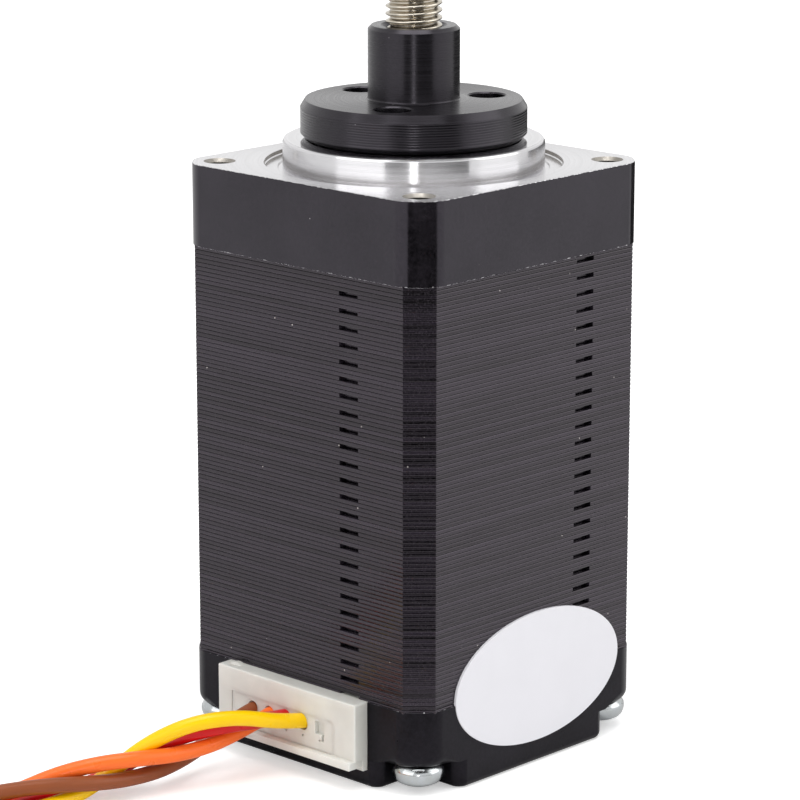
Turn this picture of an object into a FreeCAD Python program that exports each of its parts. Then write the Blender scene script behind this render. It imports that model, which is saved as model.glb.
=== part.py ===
"""External linear stepper motor: 28 mm frame, lead screw, flange nut and plugged lead wires.

Millimetres. The origin is the centre of the rear face, which the motor stands on, and +Z runs along the
lead screw. The connector is on the -Y side and the label on the +X side.
"""
import FreeCAD, Part
import math
import os

import Sketcher

Vector = FreeCAD.Vector
UP = Vector(0, 0, 1)

# Driving dimensions, then the heights and half widths that follow from them.
CELLS = {
    "frame_width": "28.2",
    "cap_chamfer": "1.95",
    "rear_length": "7.5",
    "stack_length": "35.5",
    "front_length": "7.0",
    "stack_width": "27.94",
    "stack_chamfer": "1.9",
    "pilot_radius": "11",
    "pilot_height": "2",
    "pilot_edge": "0.3",
    "face_ring_radius": "12.6",
    "face_ring_depth": "0.4",
    "hole_spacing": "23",
    "thread_radius": "1.25",
    "hole_mouth": "0.15",
    "tapped_depth": "4.5",
    "screw_clearance": "3.2",
    "winding_space": "12.3",
    "front_space_depth": "2.5",
    "rear_floor": "1.5",
    "boss_radius": "7",
    "boss_height": "6.2",
    "shelf_radius": "8",
    "case_hole_radius": "1.4",
    "notch_inner": "9.3",
    "notch_height": "2.5",
    # Bearings of 5 x 11 x 4 mm
    "bearing_outer": "5.5",
    "bearing_bore": "2.5",
    "bearing_width": "4",
    "washer_thickness": "0.5",
    "washer_outer": "5.3",
    "washer_bore": "3.9",
    "inner_race_radius": "3.5",
    "outer_race_bore": "4.5",
    "ball_circle": "4",
    "ball_radius": "0.85",
    "race_groove": "0.9",
    "cage_pocket": "0.93",
    "cage_inner": "3.75",
    "cage_outer": "4.25",
    "cage_height": "2.2",
    "shield_bore": "3.62",
    "shield_thickness": "0.25",
    "shield_inset": "0.1",
    # Stator and windings
    "bore_radius": "8.15",
    "pole_half": "1.3",
    "shoe_height": "9.4",
    "slot_depth": "11.6",
    "slot_floor": "11.8",
    "slot_floor_half": "1.6",
    "slot_mouth_half": "0.8",
    "slot_mouth_start": "7.5",
    "slot_mouth_end": "9.1",
    "tooth_gap_half": "0.265",
    "tooth_gap_start": "7.8",
    "tooth_gap_end": "8.55",
    "sheet_notch_start": "4.92",
    "sheet_notch_end": "7.05",
    "sheet_notch_height": "0.354",
    "sheet_notch_depth": "0.4",
    "sheet_notch_step": "1.416",
    "sheet_notch_foot": "8.75",
    "insulator_thickness": "0.5",
    "insulator_bore": "8.3",
    "insulator_radius": "12.2",
    "insulator_flat": "11.7",
    "coil_inner": "9.6",
    "coil_depth": "1.7",
    "coil_half": "2.9",
    "coil_hole_half": "1.5",
    "end_turn": "1.5",
    # Rotor
    "rotor_radius": "8",
    "rotor_start": "8",
    "cup_length": "7",
    "magnet_length": "2",
    "magnet_radius": "7",
    "spacer_length": "1.4",
    "spacer_radius": "6",
    "shaft_radius": "3",
    "shaft_start": "1.9",
    "shaft_end": "50.2",
    "shaft_bore": "1.5",
    "spigot_start": "30",
    "shim_radius": "3.45",
    "rotor_gap_half": "0.25",
    "rotor_gap_start": "7.5",
    "rotor_gap_end": "8.5",
    # Lead screw of 3/16 in with a lead of 0.025 in, and its nut
    "crest_radius": "2.38",
    "root_radius": "2.0",
    "lead": "0.635",
    "screw_reach": "100",
    "screw_tip": "0.4",
    "thread_start": "51.5",
    "root_flat_half": "0.1",
    "thread_mouth": "2.5",
    "thread_mouth_half": "0.27",
    "nut_gap": "2.08",
    "flange_thickness": "3.17",
    "flange_radius": "9.5",
    "flange_edge": "0.4",
    "flange_slope": "0.65",
    "hub_radius": "3.85",
    "hub_length": "6.3",
    "hub_edge": "0.25",
    "nut_bore": "2.48",
    "nut_mouth": "0.3",
    "nut_hole_circle": "6.35",
    "nut_hole_radius": "1.55",
    # Connector, with five ways at a pitch of 2 mm
    "header_half": "8.15",
    "header_back": "11.9",
    "header_bottom": "1.6",
    "header_wall": "12.8",
    "plate_front": "15.6",
    "plate_back": "14.05",
    "plate_bottom": "2.5",
    "plate_top": "7.55",
    "lip_front": "16.25",
    "lip_bottom": "1.95",
    "lip_top": "2.65",
    "knob_x": "-6.8",
    "knob_z": "6.63",
    "knob_radius": "1.3",
    "knob_depth": "0.9",
    "mouth_left": "6.5",
    "mouth_right": "5.55",
    "mouth_bottom": "2.6",
    "mouth_top": "5.5",
    "window_half": "8.15",
    "window_back": "11.3",
    "pin_half": "0.25",
    "pin_height": "4.55",
    "pin_tip": "14.1",
    "pin_tail": "9.9",
    "plug_room": "0.05",
    "plug_front": "15.2",
    "plug_back": "12.9",
    "cavity_half": "0.75",
    "contact_half": "0.7",
    "contact_front": "14.15",
    "board_thickness": "0.8",
    "board_bore": "7.1",
    "board_radius": "11.8",
    # Case screws of M2.6
    "case_screw_radius": "1.3",
    "head_radius": "2.0",
    "head_bottom": "0.7",
    "head_crown": "0.5",
    "head_face": "1.2",
    "screw_tip_depth": "5",
    # Label
    "label_length_half": "10.25",
    "label_height_half": "5.68",
    "label_offset": "0.42",
    "label_height": "7.72",
    "label_thickness": "0.15",
    # Lead wires and the coil of their put-away length
    "wire_radius": "0.65",
    "coil_centre_y": "-68.5",
    "coil_ring_radius": "16.4",
    "coil_section": "2.6",
    "tie_thickness": "0.3",
    "tie_angle": "9",
    "strand_pitch": "1.32",
    "coil_turns": "2.25",
    "tinned_radius": "0.35",
    "tinned_length": "4",
    # Heights and widths that follow
    "frame_half": "=frame_width / 2",
    "cap_flat": "=frame_half - cap_chamfer",
    "stack_half": "=stack_width / 2",
    "stack_flat": "=stack_half - stack_chamfer",
    "stack_top": "=rear_length + stack_length",
    "face_height": "=stack_top + front_length",
    "pilot_top": "=face_height + pilot_height",
    "hole_half": "=hole_spacing / 2",
    "screw_bore_depth": "=front_length - tapped_depth",
    "notch_outer": "=frame_half + 1",
    "front_bearing": "=stack_top + front_space_depth",
    "rear_bearing": "=rear_floor + washer_thickness",
    "rear_bearing_top": "=rear_bearing + bearing_width",
    "bearing_middle": "=bearing_width / 2",
    "cage_bottom": "=(bearing_width - cage_height) / 2",
    "shield_far": "=bearing_width - shield_inset - shield_thickness",
    "rear_insulator": "=rear_length - insulator_thickness",
    "sheet_notch_head": "=sheet_notch_foot + sheet_notch_height",
    "coil_width": "=2 * coil_half",
    "coil_hole_width": "=2 * coil_hole_half",
    "coil_hole_length": "=stack_length + 2 * insulator_thickness",
    "coil_length": "=coil_hole_length + 2 * end_turn",
    "coil_bottom": "=rear_insulator - end_turn",
    "shelf_depth": "=rear_length - board_bottom",
    "board_bottom": "=pin_height - pin_half - board_thickness",
    "boss_depth": "=rear_length - boss_height",
    "floor_depth": "=rear_length - rear_floor",
    "window_depth": "=rear_length - header_bottom",
    "window_front": "=frame_half + 1",
    "magnet_one": "=rotor_start + cup_length",
    "cup_two": "=magnet_one + magnet_length",
    "spacer_start": "=cup_two + cup_length",
    "cup_three": "=spacer_start + spacer_length",
    "magnet_two": "=cup_three + cup_length",
    "cup_four": "=magnet_two + magnet_length",
    "rotor_end": "=cup_four + cup_length",
    "rear_shim_length": "=rotor_start - rear_bearing_top",
    "front_shim_length": "=front_bearing - rotor_end",
    "screw_end": "=face_height + screw_reach",
    "screw_shoulder": "=screw_end - screw_tip",
    "screw_tip_radius": "=crest_radius - screw_tip",
    "thread_low": "=thread_start - thread_mouth_half",
    "thread_high": "=thread_start + thread_mouth_half",
    "thread_floor_low": "=thread_start - root_flat_half",
    "thread_floor_high": "=thread_start + root_flat_half",
    "nut_bottom": "=face_height + nut_gap",
    "flange_top": "=nut_bottom + flange_thickness",
    "flange_shoulder": "=flange_top - flange_slope",
    "flange_top_radius": "=flange_radius - flange_edge",
    "flange_foot": "=nut_bottom + flange_edge",
    "flange_foot_radius": "=flange_radius - flange_edge",
    "hub_top": "=flange_top + hub_length",
    "hub_shoulder": "=hub_top - hub_edge",
    "hub_top_radius": "=hub_radius - hub_edge",
    "nut_mouth_radius": "=nut_bore + nut_mouth",
    "nut_mouth_floor": "=hub_top - nut_mouth",
    "header_width": "=2 * header_half",
    "header_depth": "=plate_back - header_back",
    "header_height": "=rear_length - header_bottom",
    "plate_depth": "=plate_front - plate_back",
    "plate_height": "=plate_top - plate_bottom",
    "lip_depth": "=lip_front - plate_back",
    "lip_height": "=lip_top - lip_bottom",
    "mouth_width": "=mouth_left + mouth_right",
    "mouth_depth": "=lip_front - header_wall",
    "mouth_height": "=mouth_top - mouth_bottom",
    "pin_width": "=2 * pin_half",
    "pin_length": "=pin_tip - pin_tail",
    "pin_bottom": "=pin_height - pin_half",
    "plug_left": "=mouth_left - plug_room",
    "plug_bottom": "=mouth_bottom + plug_room",
    "plug_width": "=mouth_width - 2 * plug_room",
    "plug_depth": "=plug_front - plug_back",
    "plug_height": "=mouth_height - 2 * plug_room",
    "cavity_width": "=2 * cavity_half",
    "cavity_bottom": "=pin_height - cavity_half",
    "contact_width": "=2 * contact_half",
    "contact_depth": "=contact_front - plug_back",
    "contact_bottom": "=pin_height - contact_half",
    "head_height": "=notch_height - head_bottom - head_crown",
    "head_shoulder": "=head_bottom + head_crown",
    "case_screw_end": "=face_height - screw_tip_depth",
    "case_screw_length": "=case_screw_end - notch_height",
    "label_relief": "=frame_half - stack_half",
    "label_depth": "=label_relief + label_thickness",
    "label_width": "=2 * label_length_half",
    "label_start": "=label_offset - label_length_half",
    "coil_height": "=coil_section + tie_thickness",
}

POLES = 8
STATOR_TEETH = 48
ROTOR_TEETH = 50
BALLS = 9
SHEET_NOTCHES = 24
THREAD_TURNS = 154
# The core's sides: the plane, the side of it, and how many sheets higher than the first the notches start.
NOTCH_SIDES = (("XZ_Plane", "", 0), ("YZ_Plane", "", 3), ("XZ_Plane", "-", 2), ("YZ_Plane", "-", 1))
NUT_HOLES = 3
NUT_HOLE_TURN = 58
WAYS = (-4.0, -2.0, 0.0, 2.0, 4.0)
TIE_TURN = 70

# The routes of the wires from inside the plug to the coil, where each has a layer of its own.
WIRES = {
    "red": {"layer": 0, "route": (
        (0.0, -14.3, 4.55), (-0.1, -17.8, 4.9), (-1.2, -21.3, 5.05), (-3.5, -24.8, 4.35),
        (-5.8, -27.5, 2.5), (-7.2, -30.5, 1.05), (-7.35, -34.1, 0.95), (-7.5, -38.1, 0.95),
        (-8.9, -44.7, 0.75), (-11.2, -50.4, 0.66), (-14.6, -56.1, 0.75), (-17.5, -62.5, 0.88),
        (-17.885, -68.5, 0.905))},
    "yellow": {"layer": 1, "route": (
        (2.0, -14.3, 4.55), (1.7, -17.8, 5.15), (0.4, -21.3, 6.2), (-1.6, -24.9, 6.05),
        (-4.1, -27.5, 4.35), (-5.8, -30.0, 2.1), (-5.95, -33.4, 0.93), (-5.85, -37.7, 0.95),
        (-7.3, -44.7, 0.9), (-9.5, -50.4, 0.98), (-13.15, -56.1, 1.8), (-17.2, -62.5, 2.2),
        (-17.885, -68.5, 2.235))},
    "orange": {"layer": 2, "route": (
        (-2.0, -14.3, 4.55), (-1.8, -17.8, 4.1), (-1.9, -21.7, 3.4), (-2.5, -25.5, 3.25),
        (-3.3, -29.2, 3.65), (-4.9, -32.1, 3.6), (-7.3, -34.7, 2.75), (-9.35, -37.9, 1.35),
        (-10.55, -44.7, 0.85), (-12.8, -50.4, 1.1), (-15.8, -56.1, 2.4), (-17.7, -62.5, 3.5),
        (-17.885, -68.5, 3.565))},
    "brown": {"layer": 3, "route": (
        (-4.0, -14.3, 4.55), (-4.2, -17.9, 3.9), (-4.7, -20.9, 2.15), (-4.7, -23.8, 1.5),
        (-4.15, -27.1, 1.58), (-4.3, -31.2, 1.9), (-5.55, -35.2, 2.42), (-7.2, -39.0, 2.65),
        (-8.9, -45.2, 2.65), (-11.2, -50.4, 2.75), (-14.6, -56.1, 3.5), (-17.5, -62.5, 4.8),
        (-17.885, -68.5, 4.895))},
}
LAYER_STEP = 1.33
# Each free end leaves the coil inwards: its points' angles about the coil's middle, and its radii there.
TAIL_ANGLES = (250, 275, 300, 325)
TAIL_FAN = (0.0, 0.55, 1.4, 2.3)
TAIL_FALL = (0.0, 0.06, 0.45, 0.74)

doc = FreeCAD.newDocument("linear_stepper")
sheet = doc.addObject("Spreadsheet::Sheet", "Spec")
sub_parts = []


def fill_sheet():
    """Write every dimension into the sheet under its alias."""
    for row, (alias, content) in enumerate(CELLS.items(), start=1):
        sheet.set(f"A{row}", alias)
        sheet.set(f"B{row}", content)
        sheet.setAlias(f"B{row}", alias)
    doc.recompute()


def size(alias):
    """Give a cell's number; a leading minus turns its sign."""
    return -size(alias[1:]) if alias.startswith("-") else float(sheet.get(alias))


def cell(alias):
    """Give the expression that reads a cell; a leading minus turns its sign."""
    return f"-Spec.{alias[1:]}" if alias.startswith("-") else f"Spec.{alias}"


def keep(item, label):
    """Name an object as a finished sub-part."""
    item.Label = label
    sub_parts.append(item)
    return item


# Part primitives and booleans

def place(item, x=None, y=None, z=None):
    """Bind an object's position to cells."""
    for axis, alias in (("x", x), ("y", y), ("z", z)):
        if alias is not None:
            item.setExpression(f".Placement.Base.{axis}", cell(alias))
    return item


def turn(item, angle):
    """Turn an object about the screw axis."""
    item.Placement = FreeCAD.Placement(Vector(), FreeCAD.Rotation(UP, angle))
    return item


def cylinder(radius, height, z=None, x=None, y=None):
    """Make a cylinder along +Z."""
    item = doc.addObject("Part::Cylinder", "Cylinder")
    item.setExpression("Radius", cell(radius))
    item.setExpression("Height", cell(height))
    return place(item, x, y, z)


def box(length, width, height, x=None, y=None, z=None):
    """Make a box from its lowest corner."""
    item = doc.addObject("Part::Box", "Box")
    for name, alias in (("Length", length), ("Width", width), ("Height", height)):
        item.setExpression(name, cell(alias))
    return place(item, x, y, z)


def spoke(radius, length, turning, height):
    """Make a cylinder from the screw axis outwards, at a turn about it."""
    item = cylinder(radius, length)
    outwards = FreeCAD.Rotation(UP, Vector(1, 0, 0))
    item.Placement = FreeCAD.Placement(Vector(0, 0, height), turning * outwards)
    return item


def sphere(radius, position):
    """Make a ball at a point."""
    item = doc.addObject("Part::Sphere", "Ball")
    item.setExpression("Radius", cell(radius))
    item.Placement.Base = position
    return item


def torus(ring, section, z=None):
    """Make a ring of round section about +Z."""
    item = doc.addObject("Part::Torus", "Torus")
    item.setExpression("Radius1", cell(ring))
    item.setExpression("Radius2", cell(section))
    return place(item, z=z)


def cut(base, *tools):
    """Cut the tools from the base, one after another."""
    for tool in tools:
        item = doc.addObject("Part::Cut", "Cut")
        item.Base = base
        item.Tool = tool
        base = item
    return base


def fuse(*items):
    """Join touching solids into one."""
    item = doc.addObject("Part::MultiFuse", "Fuse")
    item.Shapes = list(items)
    return item


def compound(items):
    """Keep separate solids in one object."""
    item = doc.addObject("Part::Compound", "Set")
    item.Links = list(items)
    return item


def ring(outer, bore, length, z):
    """Make a plain ring about the screw axis."""
    return cut(cylinder(outer, length, z), cylinder(bore, length, z))


# Part Design features

def new_body(label):
    """Start a sub-part that is made of sketched features."""
    return keep(doc.addObject("PartDesign::Body", label), label)


def new_sketch(body, role="XY_Plane", height=None):
    """Attach a sketch to one of the body's own planes, at a height above it."""
    sketch = body.newObject("Sketcher::SketchObject", "Sketch")
    support = next(plane for plane in body.Origin.OriginFeatures if plane.Role == role)
    sketch.AttachmentSupport = [(support, "")]
    sketch.MapMode = "FlatFace"
    if height is not None:
        sketch.setExpression("AttachmentOffset.Base.z", cell(height))
    return sketch


def bind(sketch, kind, alias, *where):
    """Add a dimension to a sketch and bind it to a cell."""
    index = sketch.addConstraint(Sketcher.Constraint(kind, *where, size(alias)))
    sketch.setExpression(f"Constraints[{index}]", cell(alias))


def add_circle(sketch, radius, x=None, y=None):
    """Draw a circle, at the origin or at a bound place."""
    middle = Vector(size(x) if x else 0, size(y) if y else 0, 0)
    index = sketch.addGeometry(Part.Circle(middle, UP, size(radius)))
    bind(sketch, "Radius", radius, index)
    if x is None:
        sketch.addConstraint(Sketcher.Constraint("Coincident", index, 3, -1, 1))
        return
    bind(sketch, "DistanceX", x, -1, 1, index, 3)
    bind(sketch, "DistanceY", y, -1, 1, index, 3)


def add_outline(sketch, corners):
    """Draw a closed outline whose corners are pairs of cells; None is the axis."""
    points = [Vector(size(x) if x else 0, size(y) if y else 0, 0) for x, y in corners]
    lines = [
        sketch.addGeometry(Part.LineSegment(start, end))
        for start, end in zip(points, points[1:] + points[:1])
    ]
    for line, following in zip(lines, lines[1:] + lines[:1]):
        sketch.addConstraint(Sketcher.Constraint("Coincident", line, 2, following, 1))
    for line, (x, y) in zip(lines, corners):
        if x is None:
            sketch.addConstraint(Sketcher.Constraint("PointOnObject", line, 1, -2))
        else:
            bind(sketch, "DistanceX", x, -1, 1, line, 1)
        if y is None:
            sketch.addConstraint(Sketcher.Constraint("PointOnObject", line, 1, -1))
        else:
            bind(sketch, "DistanceY", y, -1, 1, line, 1)


def octagon(sketch, half, flat):
    """Draw a square with its corners cut."""
    add_outline(sketch, (
        (half, f"-{flat}"), (half, flat), (flat, half), (f"-{flat}", half),
        (f"-{half}", flat), (f"-{half}", f"-{flat}"), (f"-{flat}", f"-{half}"), (flat, f"-{half}")))


def four_circles(sketch, radius):
    """Draw the four corner holes."""
    for x in ("hole_half", "-hole_half"):
        for y in ("hole_half", "-hole_half"):
            add_circle(sketch, radius, x, y)


def pad(body, sketch, length):
    """Raise a sketch into a solid."""
    feature = body.newObject("PartDesign::Pad", "Pad")
    feature.Profile = sketch
    feature.setExpression("Length", cell(length))
    return feature


def pocket(body, sketch, depth=None, upwards=False):
    """Cut a sketch downwards, upwards, or all the way through both ways."""
    feature = body.newObject("PartDesign::Pocket", "Pocket")
    feature.Profile = sketch
    feature.Reversed = upwards
    if depth is None:
        feature.Type = "ThroughAll"
        feature.Midplane = True
    else:
        feature.setExpression("Length", cell(depth))
    return feature


def revolve(body, sketch):
    """Turn a half section about the screw axis."""
    feature = body.newObject("PartDesign::Revolution", "Revolution")
    feature.Profile = sketch
    feature.ReferenceAxis = (sketch, ["V_Axis"])
    feature.Angle = 360
    return feature


def around(body, feature, count):
    """Repeat a feature evenly about the screw axis."""
    pattern = body.newObject("PartDesign::PolarPattern", "Around")
    pattern.Originals = [feature]
    axis = next(line for line in body.Origin.OriginFeatures if line.Role == "Z_Axis")
    pattern.Axis = (axis, [""])
    pattern.Angle = 360
    pattern.Occurrences = count
    body.Tip = pattern
    return pattern


def along(body, feature, sketch, count, length):
    """Repeat a feature evenly along its sketch's upright axis."""
    pattern = body.newObject("PartDesign::LinearPattern", "Along")
    pattern.Originals = [feature]
    pattern.Direction = (sketch, ["V_Axis"])
    pattern.Occurrences = count
    pattern.setExpression("Length", length)
    body.Tip = pattern


def chamfer_circles(body, base, radius, height, amount):
    """Chamfer the round edges of one radius at one height."""
    doc.recompute()
    names = [
        f"Edge{index}" for index, edge in enumerate(base.Shape.Edges, start=1)
        if isinstance(edge.Curve, Part.Circle)
        and abs(edge.Curve.Radius - size(radius)) < 0.01
        and abs(edge.Curve.Center.z - size(height)) < 0.01
    ]
    feature = body.newObject("PartDesign::Chamfer", "Chamfer")
    feature.Base = (base, names)
    feature.setExpression("Size", cell(amount))
    return feature


# Case

def front_end_cap():
    """Cast cap with the turned pilot, the front bearing's seat and the tapped corner holes."""
    body = new_body("front_end_cap")
    outline = new_sketch(body, height="stack_top")
    octagon(outline, "frame_half", "cap_flat")
    pad(body, outline, "front_length")
    pilot = new_sketch(body, height="face_height")
    add_circle(pilot, "pilot_radius")
    pad(body, pilot, "pilot_height")
    face = new_sketch(body, height="face_height")
    add_circle(face, "face_ring_radius")
    add_circle(face, "pilot_radius")
    pocket(body, face, "face_ring_depth")
    windings = new_sketch(body, height="stack_top")
    add_circle(windings, "winding_space")
    pocket(body, windings, "front_space_depth", upwards=True)
    seat = new_sketch(body, height="front_bearing")
    add_circle(seat, "bearing_outer")
    pocket(body, seat, "bearing_width", upwards=True)
    passage = new_sketch(body, height="face_height")
    add_circle(passage, "screw_clearance")
    pocket(body, passage)
    bores = new_sketch(body, height="stack_top")
    four_circles(bores, "case_screw_radius")
    pocket(body, bores, "screw_bore_depth", upwards=True)
    corners = new_sketch(body, height="face_height")
    four_circles(corners, "thread_radius")
    holes = pocket(body, corners, "tapped_depth")
    mouths = chamfer_circles(body, holes, "thread_radius", "face_height", "hole_mouth")
    chamfer_circles(body, mouths, "pilot_radius", "pilot_top", "pilot_edge")


def rear_end_cap():
    """Cast cap with the rear bearing's boss, the screw heads' notches and the connector's window."""
    body = new_body("rear_end_cap")
    outline = new_sketch(body)
    octagon(outline, "frame_half", "cap_flat")
    pad(body, outline, "rear_length")
    for outer, inner, depth in (
        ("winding_space", "shelf_radius", "floor_depth"),
        ("shelf_radius", "boss_radius", "shelf_depth"),
        ("boss_radius", None, "boss_depth"),
        ("bearing_outer", None, "floor_depth"),
    ):
        step = new_sketch(body, height="rear_length")
        add_circle(step, outer)
        if inner:
            add_circle(step, inner)
        pocket(body, step, depth)
    holes = new_sketch(body)
    four_circles(holes, "case_hole_radius")
    pocket(body, holes)
    window = new_sketch(body, height="rear_length")
    add_outline(window, (
        ("-window_half", "-window_front"), ("window_half", "-window_front"),
        ("window_half", "-window_back"), ("-window_half", "-window_back")))
    pocket(body, window, "window_depth")
    corner = new_sketch(body)
    add_outline(corner, (
        ("notch_inner", "notch_inner"), ("notch_outer", "notch_inner"),
        ("notch_outer", "notch_outer"), ("notch_inner", "notch_outer")))
    around(body, pocket(body, corner, "notch_height", upwards=True), 4)


def cut_slots(body, height):
    """Cut the winding slots between the poles; a slot's sides are parallel to the poles beside it."""
    half_step = math.pi / POLES
    along = Vector(math.cos(half_step), math.sin(half_step), 0)
    across = Vector(math.sin(half_step), -math.cos(half_step), 0)
    shoe = along * size("shoe_height") + across * size("pole_half")
    root = along * size("slot_depth") + across * size("pole_half")
    mouth = Vector(size("slot_mouth_end"), size("slot_mouth_half"), 0)
    upper = [
        Vector(size("slot_mouth_start"), size("slot_mouth_half"), 0), mouth, shoe, root,
        Vector(size("slot_floor"), size("slot_floor_half"), 0),
    ]
    lower = [Vector(point.x, -point.y, 0) for point in reversed(upper)]
    corners = [FreeCAD.Rotation(UP, 180 / POLES).multVec(point) for point in upper + lower]
    sketch = new_sketch(body, height=height)
    for start, end in zip(corners, corners[1:] + corners[:1]):
        sketch.addGeometry(Part.LineSegment(start, end))
    around(body, pocket(body, sketch), POLES)


def cut_teeth(body, height, start, end, half, count):
    """Cut the gaps between the teeth round an edge."""
    sketch = new_sketch(body, height=height)
    add_outline(sketch, ((start, f"-{half}"), (end, f"-{half}"), (end, half), (start, half)))
    around(body, pocket(body, sketch), count)


def stator_core():
    """Stack of sheets with toothed poles, corner holes and the rows of small notches on its sides."""
    body = new_body("stator_core")
    outline = new_sketch(body, height="rear_length")
    octagon(outline, "stack_half", "stack_flat")
    add_circle(outline, "bore_radius")
    four_circles(outline, "case_hole_radius")
    pad(body, outline, "stack_length")
    cut_slots(body, "rear_length")
    cut_teeth(body, "rear_length", "tooth_gap_start", "tooth_gap_end", "tooth_gap_half", STATOR_TEETH)
    for role, sign, sheets in NOTCH_SIDES:
        notch = new_sketch(body, role, f"{sign}stack_half")
        start, end = f"{sign}sheet_notch_start", f"{sign}sheet_notch_end"
        low, high = "sheet_notch_foot", "sheet_notch_head"
        add_outline(notch, ((start, low), (end, low), (end, high), (start, high)))
        notch.setExpression("AttachmentOffset.Base.y", f"{sheets} * Spec.sheet_notch_height")
        first = pocket(body, notch, "sheet_notch_depth", upwards=bool(sign))
        along(body, first, notch, SHEET_NOTCHES, f"Spec.sheet_notch_step * {SHEET_NOTCHES - 1}")


def winding_insulator(label, z):
    """Moulded end plate that keeps a coil's turns off the core."""
    body = new_body(label)
    outline = new_sketch(body, height=z)
    add_circle(outline, "insulator_radius")
    add_circle(outline, "insulator_bore")
    pad(body, outline, "insulator_thickness")
    cut_slots(body, z)
    flat = new_sketch(body, height=z)
    add_outline(flat, (
        ("-window_half", "-window_front"), ("window_half", "-window_front"),
        ("window_half", "-insulator_flat"), ("-window_half", "-insulator_flat")))
    pocket(body, flat)


def phase_coils(label, first_pole):
    """The four coils of one phase, on every second pole."""
    coils = []
    for pole in range(first_pole, POLES, 2):
        winding = box("coil_depth", "coil_width", "coil_length", "coil_inner", "-coil_half", "coil_bottom")
        hole = box(
            "coil_depth", "coil_hole_width", "coil_hole_length",
            "coil_inner", "-coil_hole_half", "rear_insulator")
        coils.append(turn(cut(winding, hole), pole * 360 / POLES))
    keep(compound(coils), label)


def case_screws():
    """The four long screws that hold the caps and the core together."""
    screws = []
    for x in ("hole_half", "-hole_half"):
        for y in ("hole_half", "-hole_half"):
            crown = doc.addObject("Part::Cone", "Crown")
            crown.setExpression("Radius1", cell("head_face"))
            crown.setExpression("Radius2", cell("head_radius"))
            crown.setExpression("Height", cell("head_crown"))
            place(crown, x, y, "head_bottom")
            head = cylinder("head_radius", "head_height", "head_shoulder", x, y)
            shank = cylinder("case_screw_radius", "case_screw_length", "notch_height", x, y)
            screws.append(fuse(crown, head, shank))
    keep(compound(screws), "case_screws")


def blank_label():
    """Oval label across the joint of the core and the rear cap."""
    oval = doc.addObject("Part::Ellipse", "Oval")
    oval.setExpression("MajorRadius", cell("label_length_half"))
    oval.setExpression("MinorRadius", cell("label_height_half"))
    oval.Placement.Rotation = FreeCAD.Rotation(Vector(1, 1, 1), 120)
    place(oval, "stack_half", "label_offset", "label_height")
    plate = doc.addObject("Part::Extrusion", "Plate")
    plate.Base = oval
    plate.DirMode = "Custom"
    plate.Dir = Vector(1, 0, 0)
    plate.Solid = True
    plate.setExpression("LengthFwd", cell("label_depth"))
    keep(cut(plate, box("label_relief", "label_width", "rear_length", "stack_half", "label_start")),
         "blank_label")


# Bearings

def bearing(name, z):
    """Two races, a set of balls in their cage and two shields; the shields are handed back."""
    groove = {"ring": "ball_circle", "section": "race_groove"}
    middle = f"{name}_bearing"
    height = size(z) + size("bearing_middle")
    turnings = [FreeCAD.Rotation(UP, index * 360 / BALLS) for index in range(BALLS)]

    def level(item, offset="bearing_middle"):
        item.setExpression(".Placement.Base.z", f"Spec.{z} + Spec.{offset}")
        return item

    outer = ring("bearing_outer", "outer_race_bore", "bearing_width", z)
    inner = ring("inner_race_radius", "bearing_bore", "bearing_width", z)
    keep(cut(outer, level(torus(**groove))), f"{middle}_outer_race")
    keep(cut(inner, level(torus(**groove))), f"{middle}_inner_race")
    cage = cut(
        level(cylinder("cage_outer", "cage_height"), "cage_bottom"),
        level(cylinder("cage_inner", "cage_height"), "cage_bottom"),
        *(spoke("cage_pocket", "bearing_outer", turning, height) for turning in turnings))
    balls = [
        sphere("ball_radius", turning.multVec(Vector(size("ball_circle"), 0, height)))
        for turning in turnings
    ]
    keep(compound([cage] + balls), f"{name}_ball_set")
    return [
        cut(
            level(cylinder("outer_race_bore", "shield_thickness"), offset),
            level(cylinder("shield_bore", "shield_thickness"), offset))
        for offset in ("shield_inset", "shield_far")
    ]


# Rotor

def rotor_shaft():
    """Stepped shaft with a journal at each end and a bore for the screw."""
    body = new_body("rotor_shaft")
    section = new_sketch(body, "XZ_Plane")
    add_outline(section, (
        (None, "shaft_start"), ("bearing_bore", "shaft_start"), ("bearing_bore", "rear_bearing_top"),
        ("shaft_radius", "rear_bearing_top"), ("shaft_radius", "front_bearing"),
        ("bearing_bore", "front_bearing"), ("bearing_bore", "shaft_end"), ("shaft_bore", "shaft_end"),
        ("shaft_bore", "spigot_start"), (None, "spigot_start")))
    revolve(body, section)


def rotor_cups():
    """Four toothed sections; the second of each pair is turned by half a tooth."""
    cups = []
    for index, z in enumerate(("rotor_start", "cup_two", "cup_three", "cup_four")):
        body = doc.addObject("PartDesign::Body", "Cup")
        outline = new_sketch(body)
        add_circle(outline, "rotor_radius")
        add_circle(outline, "shaft_radius")
        pad(body, outline, "cup_length")
        gap = ("rotor_gap_start", "rotor_gap_end", "rotor_gap_half")
        cut_teeth(body, None, *gap, ROTOR_TEETH)
        turn(body, (index % 2) * 180 / ROTOR_TEETH)
        cups.append(place(body, z=z))
    keep(compound(cups), "rotor_cups")


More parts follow.
